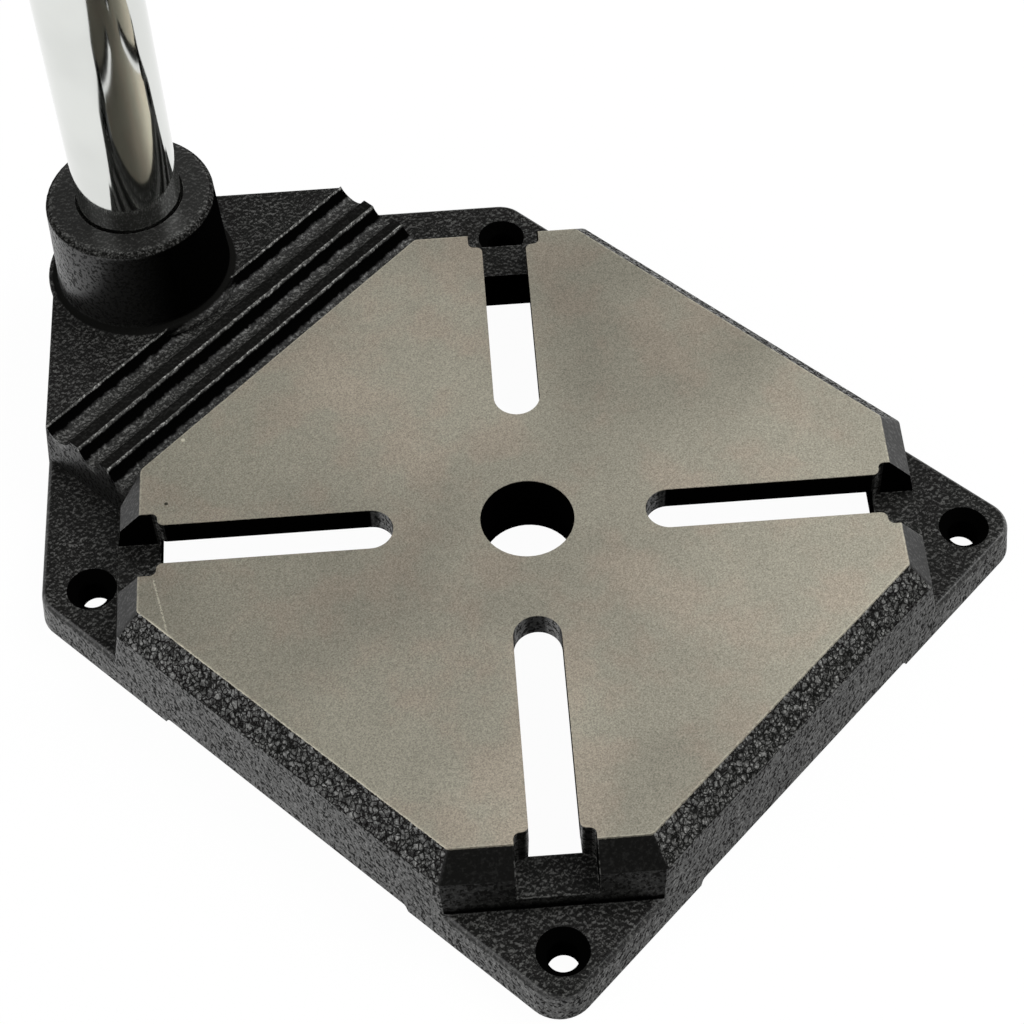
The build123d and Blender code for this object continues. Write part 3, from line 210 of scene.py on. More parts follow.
class Finish:
    """A material or world that is being made: its nodes, and the common coordinates and patterns."""

    def __init__(self, name, kind="materials"):
        self.owner = getattr(bpy.data, kind).new(name)
        self.owner.use_nodes = True
        self.tree = self.owner.node_tree
        self.tree.nodes.clear()
        self.place = self.node("ShaderNodeTexCoord", output="Object")
        self.normal = self.place.out("Normal")

    def node(self, kind, settings=None, inputs=None, output=0):
        """Adds one node: its settings first, then the values or links of its sockets."""
        made = self.tree.nodes.new(kind)
        for name, value in (settings or {}).items():
            setattr(made, name, value)
        for key, value in (inputs or {}).items():
            if isinstance(value, Signal):
                self.tree.links.new(value.socket, made.inputs[key])
            else:
                made.inputs[key].default_value = value
        return Signal(self, made.outputs[output])

    def math(self, operation, *values):
        """One Math node on the given values."""
        return self.node("ShaderNodeMath", {"operation": operation}, dict(enumerate(values)))

    def vector_math(self, operation, inputs, output=0):
        """One Vector Math node."""
        return self.node("ShaderNodeVectorMath", {"operation": operation}, inputs, output)

    def split(self, vector):
        """The three parts of a vector."""
        first = self.node("ShaderNodeSeparateXYZ", inputs={0: vector})
        return [first, first.out("Y"), first.out("Z")]

    def stretched(self, scale):
        """The object's coordinates, scaled by three factors."""
        return self.vector_math("MULTIPLY", {0: self.place, 1: scale})

    def warped(self, size, amount):
        """The object's coordinates, bent by noise of a size, by about so many millimetres."""
        noise = self.grain(size, 1.0).out("Color")
        return self.vector_math("MULTIPLY_ADD", {0: noise, 1: (amount * MM,) * 3, 2: self.place})

    def grain(self, size, detail=3.0, roughness=0.55, place=None, distortion=0.0):
        """Noise whose lumps are about so many millimetres across."""
        inputs = {
            "Vector": place or self.place,
            "Scale": 1 / (size * MM),
            "Detail": detail,
            "Roughness": roughness,
            "Distortion": distortion,
        }
        return self.node("ShaderNodeTexNoise", inputs=inputs)

    def slopes(self, size, reach):
        """Which way the lumps of a grain slope: positive where they rise towards the front left; the base uses it
        as painted light and shade of the lumps.
        """
        moved = self.vector_math("ADD", {0: self.place, 1: (-reach * MM, -reach * MM, reach * MM)})
        return self.grain(size, 3.0, 0.6, place=moved) - self.grain(size, 3.0, 0.6)

    def cells(self, size, feature="F1", place=None):
        """Distance to the nearest of scattered points, or to the border of its cell, in cells."""
        inputs = {"Vector": place or self.place, "Scale": 1 / (size * MM)}
        return self.node("ShaderNodeTexVoronoi", {"feature": feature}, inputs)

    def blend(self, first, second, factor):
        """A colour between two, by a mask."""
        return self.node("ShaderNodeMix", {"data_type": "RGBA"}, {0: factor, 6: first, 7: second}, output=2)

    def bump(self, height, depth, strength, below=None):
        """Normals bent by a height that reaches so many millimetres."""
        inputs = {"Height": height, "Distance": depth * MM, "Strength": strength}
        if below is not None:
            inputs["Normal"] = below
        return self.node("ShaderNodeBump", inputs=inputs)

    def round_edges(self, radius):
        """Normals that run round the sharp edges of a piece."""
        return self.node("ShaderNodeBevel", {"samples": 6}, {"Radius": radius * MM})

    def edge_wear(self, radius, rounded=None):
        """A mask that is 1 along sharp edges."""
        inputs = {0: rounded or self.round_edges(radius), 1: self.node("ShaderNodeNewGeometry", output="Normal")}
        same = self.vector_math("DOT_PRODUCT", inputs, output="Value")
        return (1 - same).step(0.02, 0.16)

    def done(self, surface, output="ShaderNodeOutputMaterial"):
        """Ends the tree in a surface shader, and returns the material or world."""
        end = self.tree.nodes.new(output)
        self.tree.links.new(surface.socket, end.inputs["Surface"])
        return self.owner

    def principled(self, **values):
        """The material with a Principled shader; names are its sockets' with underscores."""
        inputs = {name.replace("_", " "): value for name, value in values.items()}
        return self.done(self.node("ShaderNodeBsdfPrincipled", inputs=inputs))


def tinted(colour, factor=1.0):
    """A colour made lighter or darker by a factor, with full opacity."""
    return (colour[0] * factor, colour[1] * factor, colour[2] * factor, 1.0)


def distance(across, along):
    """How far a point lies from the one that both values are measured from."""
    return (across ** 2 + along ** 2) ** 0.5


def spot(x, y, centre, radius):
    """A soft round mask on the table."""
    return distance(x - centre[0], y - centre[1]).step(radius, radius * 0.5)


def scratch(x, y, start, end, width):
    """A mask along a straight line on the table, fading over its last 0.8 mm."""
    way = (end[0] - start[0], end[1] - start[1])
    length = math.hypot(*way)
    along = ((x - start[0]) * way[0] + (y - start[1]) * way[1]) / length
    across = abs(((x - start[0]) * way[1] - (y - start[1]) * way[0]) / length)
    return across.step(width, width * 0.4) * along.step(0.0, 0.8) * along.step(length, length - 0.8)


def middle_of(node):
    """The middle of a node's box."""
    low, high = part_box(node)
    return (low + high) / 2


def dress(material, *nodes):
    """Gives nodes their finish."""
    for node in nodes:
        NODES[node].data.materials.clear()
        NODES[node].data.materials.append(material)


class CastingSettings(bpy.types.PropertyGroup):
    """Paint and grain of the sand-cast base, and its ground table."""

    paint: bpy.props.FloatVectorProperty(
        name="Paint", description="Colour of the paint", default=(0.006, 0.006, 0.0056), **COLOUR
    )
    # Crest colour: rubbed paint on worn edges, and also painted glints, painted light on the grain and painted
    # highlight lines
    crest: bpy.props.FloatVectorProperty(
        name="Crests", description="Colour of the rubbed crests of the grain", default=(0.45, 0.45, 0.43), **COLOUR
    )
    sand: bpy.props.FloatProperty(
        name="Sand", description="Size of the sand's grain, mm", default=1.05, min=0.1, max=5
    )
    sparkle: bpy.props.FloatProperty(
        name="Sparkle", description="Size of the bright specks, mm", default=0.5, min=0.1, max=5
    )
    relief: bpy.props.FloatProperty(
        name="Relief", description="Height of the sand's grain, mm", default=0.45, min=0, max=1
    )
    sheen: bpy.props.FloatProperty(name="Sheen", description="Gloss of the paint's coat", default=1.0, **SHARE)
    ground: bpy.props.FloatVectorProperty(
        name="Ground iron", description="Colour of the ground table", default=(0.243, 0.230, 0.186), **COLOUR
    )
    ground_roughness: bpy.props.FloatProperty(
        name="Ground roughness", description="Roughness of the ground table", default=0.46, **SHARE
    )


class MetalSettings(bpy.types.PropertyGroup):
    """Colours of the bright and blackened metal pieces, and sizes of thread and spring."""

    chrome: bpy.props.FloatVectorProperty(
        name="Chrome", description="Colour of the column", default=(0.745, 0.76, 0.735), **COLOUR
    )
    die_cast: bpy.props.FloatVectorProperty(
        name="Die casting", description="Colour of the head's castings", default=(0.40, 0.41, 0.42), **COLOUR
    )
    steel: bpy.props.FloatVectorProperty(
        name="Steel", description="Colour of turned steel", default=(0.50, 0.49, 0.47), **COLOUR
    )
    zinc: bpy.props.FloatVectorProperty(
        name="Zinc", description="Colour of zinc plate", default=(0.58, 0.60, 0.64), **COLOUR
    )
    spring: bpy.props.FloatVectorProperty(
        name="Spring wire", description="Colour of the drawn wire", default=(0.33, 0.32, 0.31), **COLOUR
    )
    blackened: bpy.props.FloatVectorProperty(
        name="Blackened steel", description="Colour of blackened steel", default=(0.035, 0.035, 0.038), **COLOUR
    )
    bronze: bpy.props.FloatVectorProperty(
        name="Bronze", description="Colour of the bushes", default=(0.42, 0.28, 0.14), **COLOUR
    )
    thread_pitch: bpy.props.FloatProperty(
        name="Thread pitch", description="Pitch of the rods' thread, mm", default=1.25, min=0.5, max=3
    )
    spring_wire: bpy.props.FloatProperty(
        name="Wire", description="Thickness of the spring's wire, mm", default=1.6, min=0.2, max=5
    )
    spring_turns: bpy.props.IntProperty(
        name="Turns", description="Turns of the return spring", default=15, min=4, max=60
    )


class MouldedSettings(bpy.types.PropertyGroup):
    """Colours of the plastic and rubber pieces."""

    knob: bpy.props.FloatVectorProperty(
        name="Knob", description="Colour of the ball knobs", default=(0.012, 0.012, 0.013), **COLOUR
    )
    plug: bpy.props.FloatVectorProperty(
        name="Plug", description="Colour of the column's plug", default=(0.022, 0.022, 0.023), **COLOUR
    )
    rubber: bpy.props.FloatVectorProperty(
        name="Rubber", description="Colour of the buffer", default=(0.025, 0.024, 0.023), **COLOUR
    )


class StudioSettings(bpy.types.PropertyGroup):
    """Floor, lamps and camera."""

    camera_place: bpy.props.FloatVectorProperty(
        name="Camera",
        description="Where the camera stands",
        default=(-0.2539, -0.23606, 0.48788),
        subtype="TRANSLATION",
        unit="LENGTH",
        size=3,
    )
    camera_turn: bpy.props.FloatVectorProperty(
        name="Turn",
        description="How the camera is turned",
        default=(math.radians(36.88997), math.radians(1.69938), math.radians(-48.7857)),
        subtype="EULER",
        unit="ROTATION",
        size=3,
    )
    lens: bpy.props.FloatProperty(
        name="Lens", description="Focal length on a 36 mm sensor, mm", default=89.8985, min=10, max=500
    )
    floor: bpy.props.FloatVectorProperty(
        name="Floor", description="Colour of the floor", default=(0.88, 0.88, 0.88), **COLOUR
    )
    floor_shine: bpy.props.FloatProperty(
        name="Floor white", description="Share of the floor that shows as plain white", default=0.97, **SHARE
    )
    board: bpy.props.FloatProperty(
        name="Board", description="Side of the black board", default=2.6, min=0.1, max=5, unit="LENGTH"
    )
    sky: bpy.props.FloatProperty(
        name="Sky", description="Level of the light from all round", default=0.5, **SHARE
    )
    right_lamp: bpy.props.FloatProperty(
        name="Right lamp", description="Power of the lamp on the right", default=14.0, min=0, unit="POWER"
    )
    left_lamp: bpy.props.FloatProperty(
        name="Left lamp", description="Power of the lamp on the left", default=7.0, min=0, unit="POWER"
    )


def ground_face(f, settings, place, on_table, sand, fine):
    """The table's machined face, a cloudy grey with fine grinding lines and a few old marks, a painted reflection
    in broad clouds and a slight gradient, and a painted highlight along its edge.

    Returns the mask of where it lies, its colour, roughness and normals.
    """
    x, y, z = place
    mask = (z + (fine - 0.5) * 0.30).step(*TABLE_FACE) * on_table
    border = (TABLE_SIDE - abs(x)).both(y - TABLE_FRONT).both(TABLE_BACK - y)
    border = border.both(FRONT_CUTS - (abs(x) - y) / math.sqrt(2))
    border = border.both(BACK_CUTS - (abs(x) + y) / math.sqrt(2))
    clouds = f.grain(38.0, 2.0, 0.5, distortion=0.4)
    speckle = f.grain(0.36, 2.0, 0.7)
    lines = f.grain(0.5, 2.0, 0.6, place=f.stretched((0.06, 1.0, 1.0)))
    cross = f.grain(0.45, 2.0, 0.6, place=f.stretched((1.0, 0.08, 1.0)))

    # Painted reflection: a slight fall in brightness towards +x and the listed clouds; the noise clouds are random
    # tone
    light = 0.92 - x * 0.0003 + (clouds - 0.5) * 0.42
    for centre, radius, strength in REFLECTION_CLOUDS:
        light += spot(x, y, centre, radius) * strength
    light *= 1 + (speckle - 0.5) * 1.7
    warm = (settings.ground[0] * 1.05, settings.ground[1] * 0.985, settings.ground[2] * 0.98, 1.0)
    tone = f.blend(tinted(settings.ground), warm, f.grain(17.0, 3.0, 0.6).step(0.42, 0.62))
    tone = f.vector_math("SCALE", {0: tone, "Scale": light})
    # Painted highlight: a lighter line along the table's edge
    tone = f.blend(tone, tinted(settings.ground, 1.5), border.step(0.42, 0.12) * sand.step(0.4, 0.55) * 0.6)
    tone = f.blend(tone, tinted(settings.ground, 1.8), scratch(x, y, *SCRATCH) * speckle.step(0.36, 0.5) * 0.8)
    for centre, radius, strength in SPOTS:
        tone = f.blend(tone, tinted(settings.ground, strength), spot(x, y, centre, radius))

    roughness = settings.ground_roughness + (clouds - 0.5) * 0.12 + (lines - 0.5) * 0.1
    normal = f.bump(lines * 0.5 + cross * 0.35 + speckle * 0.5, 0.018, 0.6)
    return mask, tone, roughness, normal


def cast_iron_finish(settings):
    """Black paint on sand-cast iron, bare and ground where the table's face was machined, with painted light and
    shade on its grain, edges, ridges and recesses.
    """
    f = Finish("sand-cast iron")
    x, y, z = place = [part / MM for part in f.split(f.place)]
    nx, ny, nz = f.split(f.normal)
    rounded = f.round_edges(0.7)

    # Grain of the sand under the paint, and painted light and shade on its lumps: lit slopes, shaded slopes and
    # bright glint specks
    sand = f.grain(settings.sand, 3.0, 0.6)
    fine = f.grain(settings.sparkle, 2.0, 0.6)
    lumps = f.grain(7.0, 2.0)
    # Painted light: the slopes of the lumps that face the front left, lighter as if lit from there
    lit_slopes = f.slopes(0.85, 0.24).step(-0.10, 0.20)
    lit_slopes = lit_slopes * lit_slopes
    # Painted shade: the slopes turned away, darker in colour and gloss, and also dented in the bump
    shaded_slopes = f.slopes(0.95, 0.3).step(0.02, -0.12)
    patch = f.grain(2.6, 2.0).step(0.35, 0.65)
    plates = f.grain(1.5, 2.0, 0.6).step(0.36, 0.66)
    cracks = f.cells(1.45, "DISTANCE_TO_EDGE", f.warped(1.3, 1.7)).step(0.17, 0.03)
    crazes = f.cells(0.8, "DISTANCE_TO_EDGE", f.warped(0.8, 0.8)).step(0.16, 0.03) * (1 - patch * 0.6)
    # Painted glints: bright specks on the grain
    glint_specks = fine.step(0.56, 0.70)

    # Where each kind of face lies
    on_table = y.step(*TABLE_PART)
    up = nz.step(*FACES_UP)
    upright = abs(nz).step(*STANDS)
    sloping = nz.step(*LEANS_UP) * nz.step(*NOT_UP)
    corner = abs(nx * ny).step(0.05, 0.14) * sloping * on_table
    cut_wall = abs(nx * ny).step(0.25, 0.42) * upright * on_table * z.step(*CUT_WALL_FOOT)
    band = sloping * (1 - corner) * (z + (sand - 0.5) * 1.6).step(*SLOPE_FOOT) * on_table
    low_edge = sloping * z.step(*EAR_EDGE_TOP) * z.step(*EAR_EDGE_FOOT)
    reach = distance(x, y - middle_of("column").y / MM)
    boss = reach.step(*SOCKET_REACH) * z.step(*SOCKET_FOOT)
    boss_rim = boss * z.step(*SOCKET_RIM_HEIGHT) * (reach + (lumps - 0.5) * 2.0).step(*SOCKET_RIM_REACH)
    hole_reach = distance(abs(x) - EAR_HOLE, abs(y) - EAR_HOLE)
    # Painted shade in recesses: the inward walls of slots and holes, the ears' holes, and the foot of the cut
    # walls
    inward = (nx * x + ny * y).step(-1.0, -2.5) * on_table
    shaded_recess = inward.either(hole_reach.step(*EAR_HOLE_REACH)) * nz.step(0.93, 0.85)
    shaded_recess = shaded_recess.either(cut_wall * (z + (sand - 0.5) * 2.0).step(*CUT_WALL_SHADE))

    # Coves: painted shade, black under each ridge's front edge; grey at the bottom; a painted highlight line along
    # the edge
    wave = (f.grain(2.4, 2.0) - 0.5) * 1.3 + (sand - 0.5) * 0.7
    cove = under = crest = 0.0
    for middle, radius, edge in COVES:
        across = (y - middle + wave) / radius
        cove += across.step(-0.85, -0.1) * across.step(0.52, 0.3)
        under += across.step(0.3, 0.52) * across.step(1.05, 0.98)
        crest += abs(y - edge + wave * 0.3).step(0.36, 0.1)
    ridges = y.step(*RIDGES_FRONT) * y.step(*RIDGES_BACK) * z.step(*RIDGES_FOOT) * (1 - boss)

    # How far the paint is lifted to the crest colour. Painted light: lit slopes, glints, upright faces lighter
    # than the tops, the ears' edges and the boss's rim; painted shade on shaded slopes and in recesses; real
    # rubbing along worn edges
    level = up * (1 - ridges) * (0.002 + lit_slopes * (0.04 + lumps * 0.20) + glint_specks * 0.02)
    level += band * (0.02 + plates * 0.22 + lit_slopes * 0.40) * (1 - cracks * 0.9) * (1 - crazes * 0.6)
    # Upright faces lighter than the tops as painted light; the cut walls darker as painted reflection
    level += upright * on_table * (0.03 + lumps * 0.05 + lit_slopes * 0.14) * (1 - shaded_slopes) * (1 - cut_wall * 0.8)
    # The ears' rounded edges lighter as a painted highlight
    level += corner * lit_slopes * 0.015 + low_edge * (0.01 + lit_slopes * 0.16 + glint_specks * 0.06)
    level += ridges * cove * (0.02 + lit_slopes * 0.2 + glint_specks * 0.1) + ridges * (1 - cove) * lit_slopes * 0.02
    # The boss's rim lighter as a painted highlight
    level = level * (1 - boss) + boss * up * (0.015 + lit_slopes * 0.05) + boss_rim * (lit_slopes * 0.13 + glint_specks * 0.12)
    worn = f.edge_wear(0.7, rounded) * sand.step(0.46, 0.60) * z.step(*WORN_FROM)
    level = level.either(worn * 0.3 * (1 - ridges)) * (1 - shaded_recess)
    # Painted highlight: a bright line along each ridge's front edge
    painted_highlight_line = ridges * crest * z.step(*CREST_HEIGHT) * (0.15 + lit_slopes * 0.85)
    paint = f.blend(tinted(settings.paint), tinted(settings.crest), level.either(painted_highlight_line))
    # Painted shade: near black in the recesses, under each ridge's front edge and on the boss's right side
    painted_shade = shaded_recess.either(ridges * under * (1 - crest)).either(boss * upright * nx.step(-0.8, -0.3))
    paint = f.blend(paint, tinted(settings.paint, 0.15), painted_shade)

    # Gloss: strong on upright faces, broken by the shaded slopes and cracks; less on the cut walls, on faces that
    # look to the front and on the boss's right side, a painted reflection that leaves them darker
    gloss = upright * (1 - shaded_slopes * 0.85) * (0.72 + lumps * 0.25 + lit_slopes * 0.4) * (1 - cut_wall * 0.7)
    gloss *= 1 - (-ny).step(*FACES_FRONT) * on_table * 0.42
    gloss += corner * (0.6 + lit_slopes * 0.4) * (1 - (-(nx + ny)).step(*FACES_FRONT) * 0.55)
    gloss += band * (0.2 + plates * 0.8) * (1 - cracks) * (1 - crazes * 0.6)
    gloss += up * (1 - ridges) * (0.08 + lit_slopes * 0.18) + low_edge * 0.5 + ridges * cove * (0.2 + lit_slopes * 0.4)
    boss_gloss = upright * (-nx).step(0.3, 0.9) * (1 - shaded_slopes * 0.8) + up * (0.2 + lit_slopes * 0.2)
    gloss = (gloss * (1 - boss) + boss * boss_gloss) * (1 - shaded_recess) * settings.sheen

    height = sand * (up * 0.7 + upright * 0.45 + corner * 0.3 + ridges * cove * 0.4 + boss_rim * 0.7)
    height += band * (plates * 0.9 + sand * 0.4 - cracks * 0.9 - crazes * 0.4) + lumps * 0.8 + fine * 0.2
    painted = f.bump(height - shaded_slopes * upright * 0.3, settings.relief, 0.9, below=rounded)

    ground, tone, ground_roughness, machined = ground_face(f, settings, place, on_table, sand, fine)
    normals = {0: ground, 4: painted, 5: machined}
    return f.principled(
        Base_Color=f.blend(paint, tone, ground),
        Metallic=ground * 0.92,
        Roughness=(0.5 + (fine - 0.5) * 0.2) * (1 - ground) + ground_roughness * ground,
        Specular_IOR_Level=0.0,
        Coat_Weight=gloss * (1 - ground),
        Coat_Roughness=0.3,
        Normal=f.node("ShaderNodeMix", {"data_type": "VECTOR"}, normals, output=1),
    )


def chrome_finish(settings):
    """Polished chrome on a drawn tube, with faint lengthwise lines."""
    f = Finish("polished chrome")
    lines = f.grain(0.8, 2.0, place=f.stretched((1.0, 1.0, 0.01)))
    haze = f.grain(30.0, 3.0)
    specks = f.cells(6.0).step(0.05, 0.02)
    return f.principled(
        Base_Color=f.blend(tinted(settings.chrome, 0.94), tinted(settings.chrome), haze.step(0.35, 0.65)),
        Metallic=1.0,
        Roughness=0.045 + haze * 0.03 + lines * 0.02 + specks * 0.1,
        Normal=f.bump(lines, 0.004, 0.5),
    )


def die_cast_finish(settings):
    """Blasted die-cast aluminium with a fine skin, brighter where edges are rubbed."""
    f = Finish("die-cast aluminium")
    skin = f.grain(0.55, 3.0, 0.6)
    flow = f.grain(22.0, 2.0, 0.5, distortion=0.3)
    stains = f.grain(5.0, 4.0, 0.65)
    worn = f.edge_wear(0.8)
    tone = f.blend(tinted(settings.die_cast, 0.88), tinted(settings.die_cast), flow.step(0.3, 0.7))
    tone = f.blend(tone, tinted(settings.die_cast, 0.6), skin.step(0.48, 0.3) * 0.6)
    tone = f.blend(tone, tinted(settings.die_cast, 0.8), stains.step(0.56, 0.72) * 0.5)
    return f.principled(
        Base_Color=f.blend(tone, tinted(settings.die_cast, 1.4), worn * 0.6),
        Metallic=0.25,
        Roughness=0.6 + (skin - 0.5) * 0.2 - worn * 0.15,
        Normal=f.bump(skin * 0.8 + flow * 0.3, 0.16, 0.8, below=f.round_edges(0.7)),
    )


def turned_finish(name, colour, centre, axis, knurl=0.0):
    """Steel turned round an axis through a point: fine rings, light handling marks, and a knurl if asked."""
    f = Finish(name)
    away = [part - at for part, at in zip(f.split(f.place), centre)]
    along = away.pop(axis)
    end_face = abs(f.split(f.normal)[axis]).step(0.7, 0.9)
    rings = (along * (2 * math.pi / (RING_PITCH * MM))).sine() * (1 - end_face)
    circles = (distance(*away) * (2 * math.pi / (RING_PITCH * MM))).sine() * end_face
    handling = f.grain(12.0, 3.0, 0.5)
    fine = f.grain(0.3, 2.0)
    tone = f.blend(tinted(colour, 0.9), tinted(colour, 1.05), handling.step(0.35, 0.65))
    height = (rings + circles) * 0.5 + fine * 0.5
    if knurl:
        angle = f.math("ARCTAN2", away[1], away[0]) * knurl
        rise = along * (2 * math.pi / (KNURL_RISE * MM))
        diamonds = (angle + rise).sine().both((angle - rise).sine()) * (1 - end_face)
        height = height * 0.1 + diamonds * 6.0
    return f.principled(
        Base_Color=f.blend(tone, tinted(colour, 1.3), f.edge_wear(0.4) * 0.5),
        Metallic=0.95,
        Roughness=0.3 + (handling - 0.5) * 0.1 + (fine - 0.5) * 0.06,
        Normal=f.bump(height, 0.03, 0.7, below=f.round_edges(0.25)),
    )


def rack_finish(settings):
    """Milled steel: cutter lines across the teeth, a little grease in the gaps."""
    f = Finish("milled rack")
    _, y, z = f.split(f.place)
    lines = (z * (2 * math.pi / (0.5 * MM)) + f.grain(2.0) * 3.0).sine()
    across = f.grain(0.3, 2.0, place=f.stretched((0.05, 1.0, 1.0)))
    stain = f.grain(18.0, 3.0)
    gap = y.step(RACK_GAPS[0] * MM, RACK_GAPS[1] * MM)
    grease = (0.10, 0.075, 0.045, 1.0)
    tone = f.blend(tinted(settings.steel), tinted(settings.steel, 0.85), stain.step(0.45, 0.7))
    return f.principled(
        Base_Color=f.blend(tone, grease, gap * stain.step(0.35, 0.6) * 0.6),
        Metallic=0.95,
        Roughness=0.3 + (across - 0.5) * 0.25 + gap * 0.1,
        Normal=f.bump(lines * 0.3 + across, 0.02, 0.6, below=f.round_edges(0.2)),
    )


def zinc_finish(settings):
    """Bright zinc plate with cloudy bluish tones."""
    f = Finish("zinc plate")
    clouds = f.grain(4.0, 4.0, 0.6)
    fine = f.grain(0.35, 2.0)
    yellowish = (settings.zinc[0] * 1.02, settings.zinc[1] * 0.95, settings.zinc[2] * 0.8, 1.0)
    tone = f.blend(tinted(settings.zinc), yellowish, clouds.step(0.5, 0.75) * 0.6)
    tone = f.blend(tone, tinted(settings.zinc, 0.7), fine.step(0.42, 0.25) * 0.5)
    return f.principled(
        Base_Color=f.blend(tone, tinted(settings.zinc, 1.3), f.edge_wear(0.35) * 0.5),
        Metallic=0.95,
        Roughness=0.3 + (clouds - 0.5) * 0.25,
        Normal=f.bump(fine + clouds, 0.02, 0.6, below=f.round_edges(0.3)),
    )


def spring_finish(settings):
    """Drawn spring wire, oiled, with darker patches."""
    f = Finish("spring wire")
    patches = f.grain(3.0, 3.0)
    draw = f.grain(0.18, 2.0)
    return f.principled(
        Base_Color=f.blend(tinted(settings.spring), tinted(settings.spring, 0.5), patches.step(0.42, 0.66)),
        Metallic=0.92,
        Roughness=0.3 + (patches - 0.5) * 0.2 + (draw - 0.5) * 0.1,
        Normal=f.bump(draw, 0.012, 0.6),
    )


def blackened_finish(settings):
    """Chemically blackened steel, with bare metal where edges are rubbed."""
    f = Finish("blackened steel")
    patches = f.grain(6.0, 4.0, 0.6)
    fine = f.grain(0.3, 2.0)
    worn = f.edge_wear(0.45) * patches.step(0.4, 0.55)
    tone = f.blend(tinted(settings.blackened, 0.7), tinted(settings.blackened, 1.5), patches.step(0.35, 0.65))
    return f.principled(
        Base_Color=f.blend(tone, tinted(settings.steel), worn * 0.7),
        Metallic=0.6 + worn * 0.35,
        Roughness=0.36 + (patches - 0.5) * 0.2 + (fine - 0.5) * 0.1,
        Normal=f.bump(fine + patches * 0.6, 0.03, 0.6, below=f.round_edges(0.35)),
    )


def bronze_finish(settings):
    """Sintered bronze: open pores and a turned face."""
    f = Finish("sintered bronze")
    pores = f.cells(0.6)
    fine = f.grain(0.4, 2.0)
    stain = f.grain(5.0, 3.0)
    tone = f.blend(tinted(settings.bronze), tinted(settings.bronze, 0.6), stain.step(0.4, 0.7))
    return f.principled(
        Base_Color=f.blend(tone, tinted(settings.bronze, 0.3), pores.step(0.22, 0.1) * 0.8),
        Metallic=0.9,
        Roughness=0.38 + (fine - 0.5) * 0.2,
        Normal=f.bump(pores.step(0.1, 0.25) + fine * 0.3, 0.04, 0.7),
    )


def moulded_finish(name, colour, roughness, skin_size, skin_depth):
    """Moulded plastic or rubber with its own skin."""
    f = Finish(name)
    skin = f.grain(skin_size, 3.0)
    scuffs = f.grain(4.0, 5.0, 0.7)
    wide = f.grain(18.0, 2.0)
    tone = f.blend(tinted(colour), tinted(colour, 2.0), scuffs.step(0.56, 0.8) * 0.5)
    return f.principled(
        Base_Color=f.blend(tone, tinted(colour, 1.5), wide.step(0.45, 0.7) * 0.5),
        Roughness=roughness + (scuffs - 0.5) * 0.22 + (skin - 0.5) * 0.08,
        Normal=f.bump(skin, skin_depth, 0.6, below=f.round_edges(0.4)),
    )


def add_object(name, mesh):
    """Puts a finished mesh into the scene as an object."""
    data = bpy.data.meshes.new(name)
    mesh.to_mesh(data)
    mesh.free()
    made = bpy.data.objects.new(name, data)
    bpy.context.scene.collection.objects.link(made)
    return made


def tube(name, rings):
    """A solid through rings of points, smooth along its length and flat at both ends."""
    mesh = bmesh.new()
    loops = [[mesh.verts.new(point) for point in ring] for ring in rings]
    for first, second in zip(loops, loops[1:]):
        for side in range(len(first)):
            after = (side + 1) % len(first)
            mesh.faces.new((first[side], first[after], second[after], second[side]))
    mesh.faces.new(loops[0][::-1])
    mesh.faces.new(loops[-1])
    bmesh.ops.recalc_face_normals(mesh, faces=mesh.faces)
    made = add_object(name, mesh)
    for polygon in made.data.polygons:
        polygon.use_smooth = len(polygon.vertices) == 4
    return made


def threaded_rod(name, low, high, pitch, plain=None):
    """An upright rod between two corners, threaded but for a stretch of heights, chamfered at both ends."""
    middle = (low + high) / 2
    radius = (high.x - low.x) / 2
    length = high.z - low.z
    rows = max(8, round(length / pitch * ROWS_PER_THREAD))
    rings = []
    for row in range(rows + 1):
        travel = length * row / rows
        chamfer = max(0.0, ROD_CHAMFER * MM - min(travel, length - travel))
        bare = plain is not None and plain[0] <= low.z + travel <= plain[1]
        ring = []
        for side in range(ROD_SIDES):
            flank = abs(2 * ((travel / pitch - side / ROD_SIDES) % 1.0) - 1)
            groove = 0.0 if bare else min(1.0, max(0.0, (flank - 0.12) / 0.76))
            reach = radius - max(THREAD_DEPTH * MM * groove, chamfer)
            angle = 2 * math.pi * side / ROD_SIDES
            place = (middle.x + reach * math.cos(angle), middle.y + reach * math.sin(angle), low.z + travel)
            ring.append(Vector(place))
        rings.append(ring)
    return tube(name, rings)


def coil_spring(name, low, high, wire_radius, turns):
    """A compression spring that fills the box between two corners, with its end turns closed."""
    middle = (low + high) / 2
    radius = (high.x - low.x) / 2 - wire_radius
    length = high.z - low.z - 2 * wire_radius
    pitch = length / (turns - 4 / 3)

    def height(turn):
        """The first and the last turn rise by a third of the pitch."""
        if turn < 1:
            return pitch / 3 * turn ** 3
        if turn > turns - 1:
            return length - pitch / 3 * (turns - turn) ** 3
        return pitch / 3 + pitch * (turn - 1)

    rings = []
    for step in range(turns * WIRE_STEPS_PER_TURN + 1):
        turn = step / WIRE_STEPS_PER_TURN
        angle = 2 * math.pi * turn
        outward = Vector((math.cos(angle), math.sin(angle), 0))
        rise = (height(turn + 0.01) - height(turn - 0.01)) / 0.02
        along = Vector((-math.sin(angle), math.cos(angle), rise / (2 * math.pi * radius))).normalized()
        across = along.cross(outward)
        centre = Vector((middle.x, middle.y, low.z + wire_radius + height(turn))) + outward * radius
        ring = []
        for side in range(WIRE_SIDES):
            bend = 2 * math.pi * side / WIRE_SIDES
            ring.append(centre + (outward * math.cos(bend) + across * math.sin(bend)) * wire_radius)
        rings.append(ring)
    return tube(name, rings)


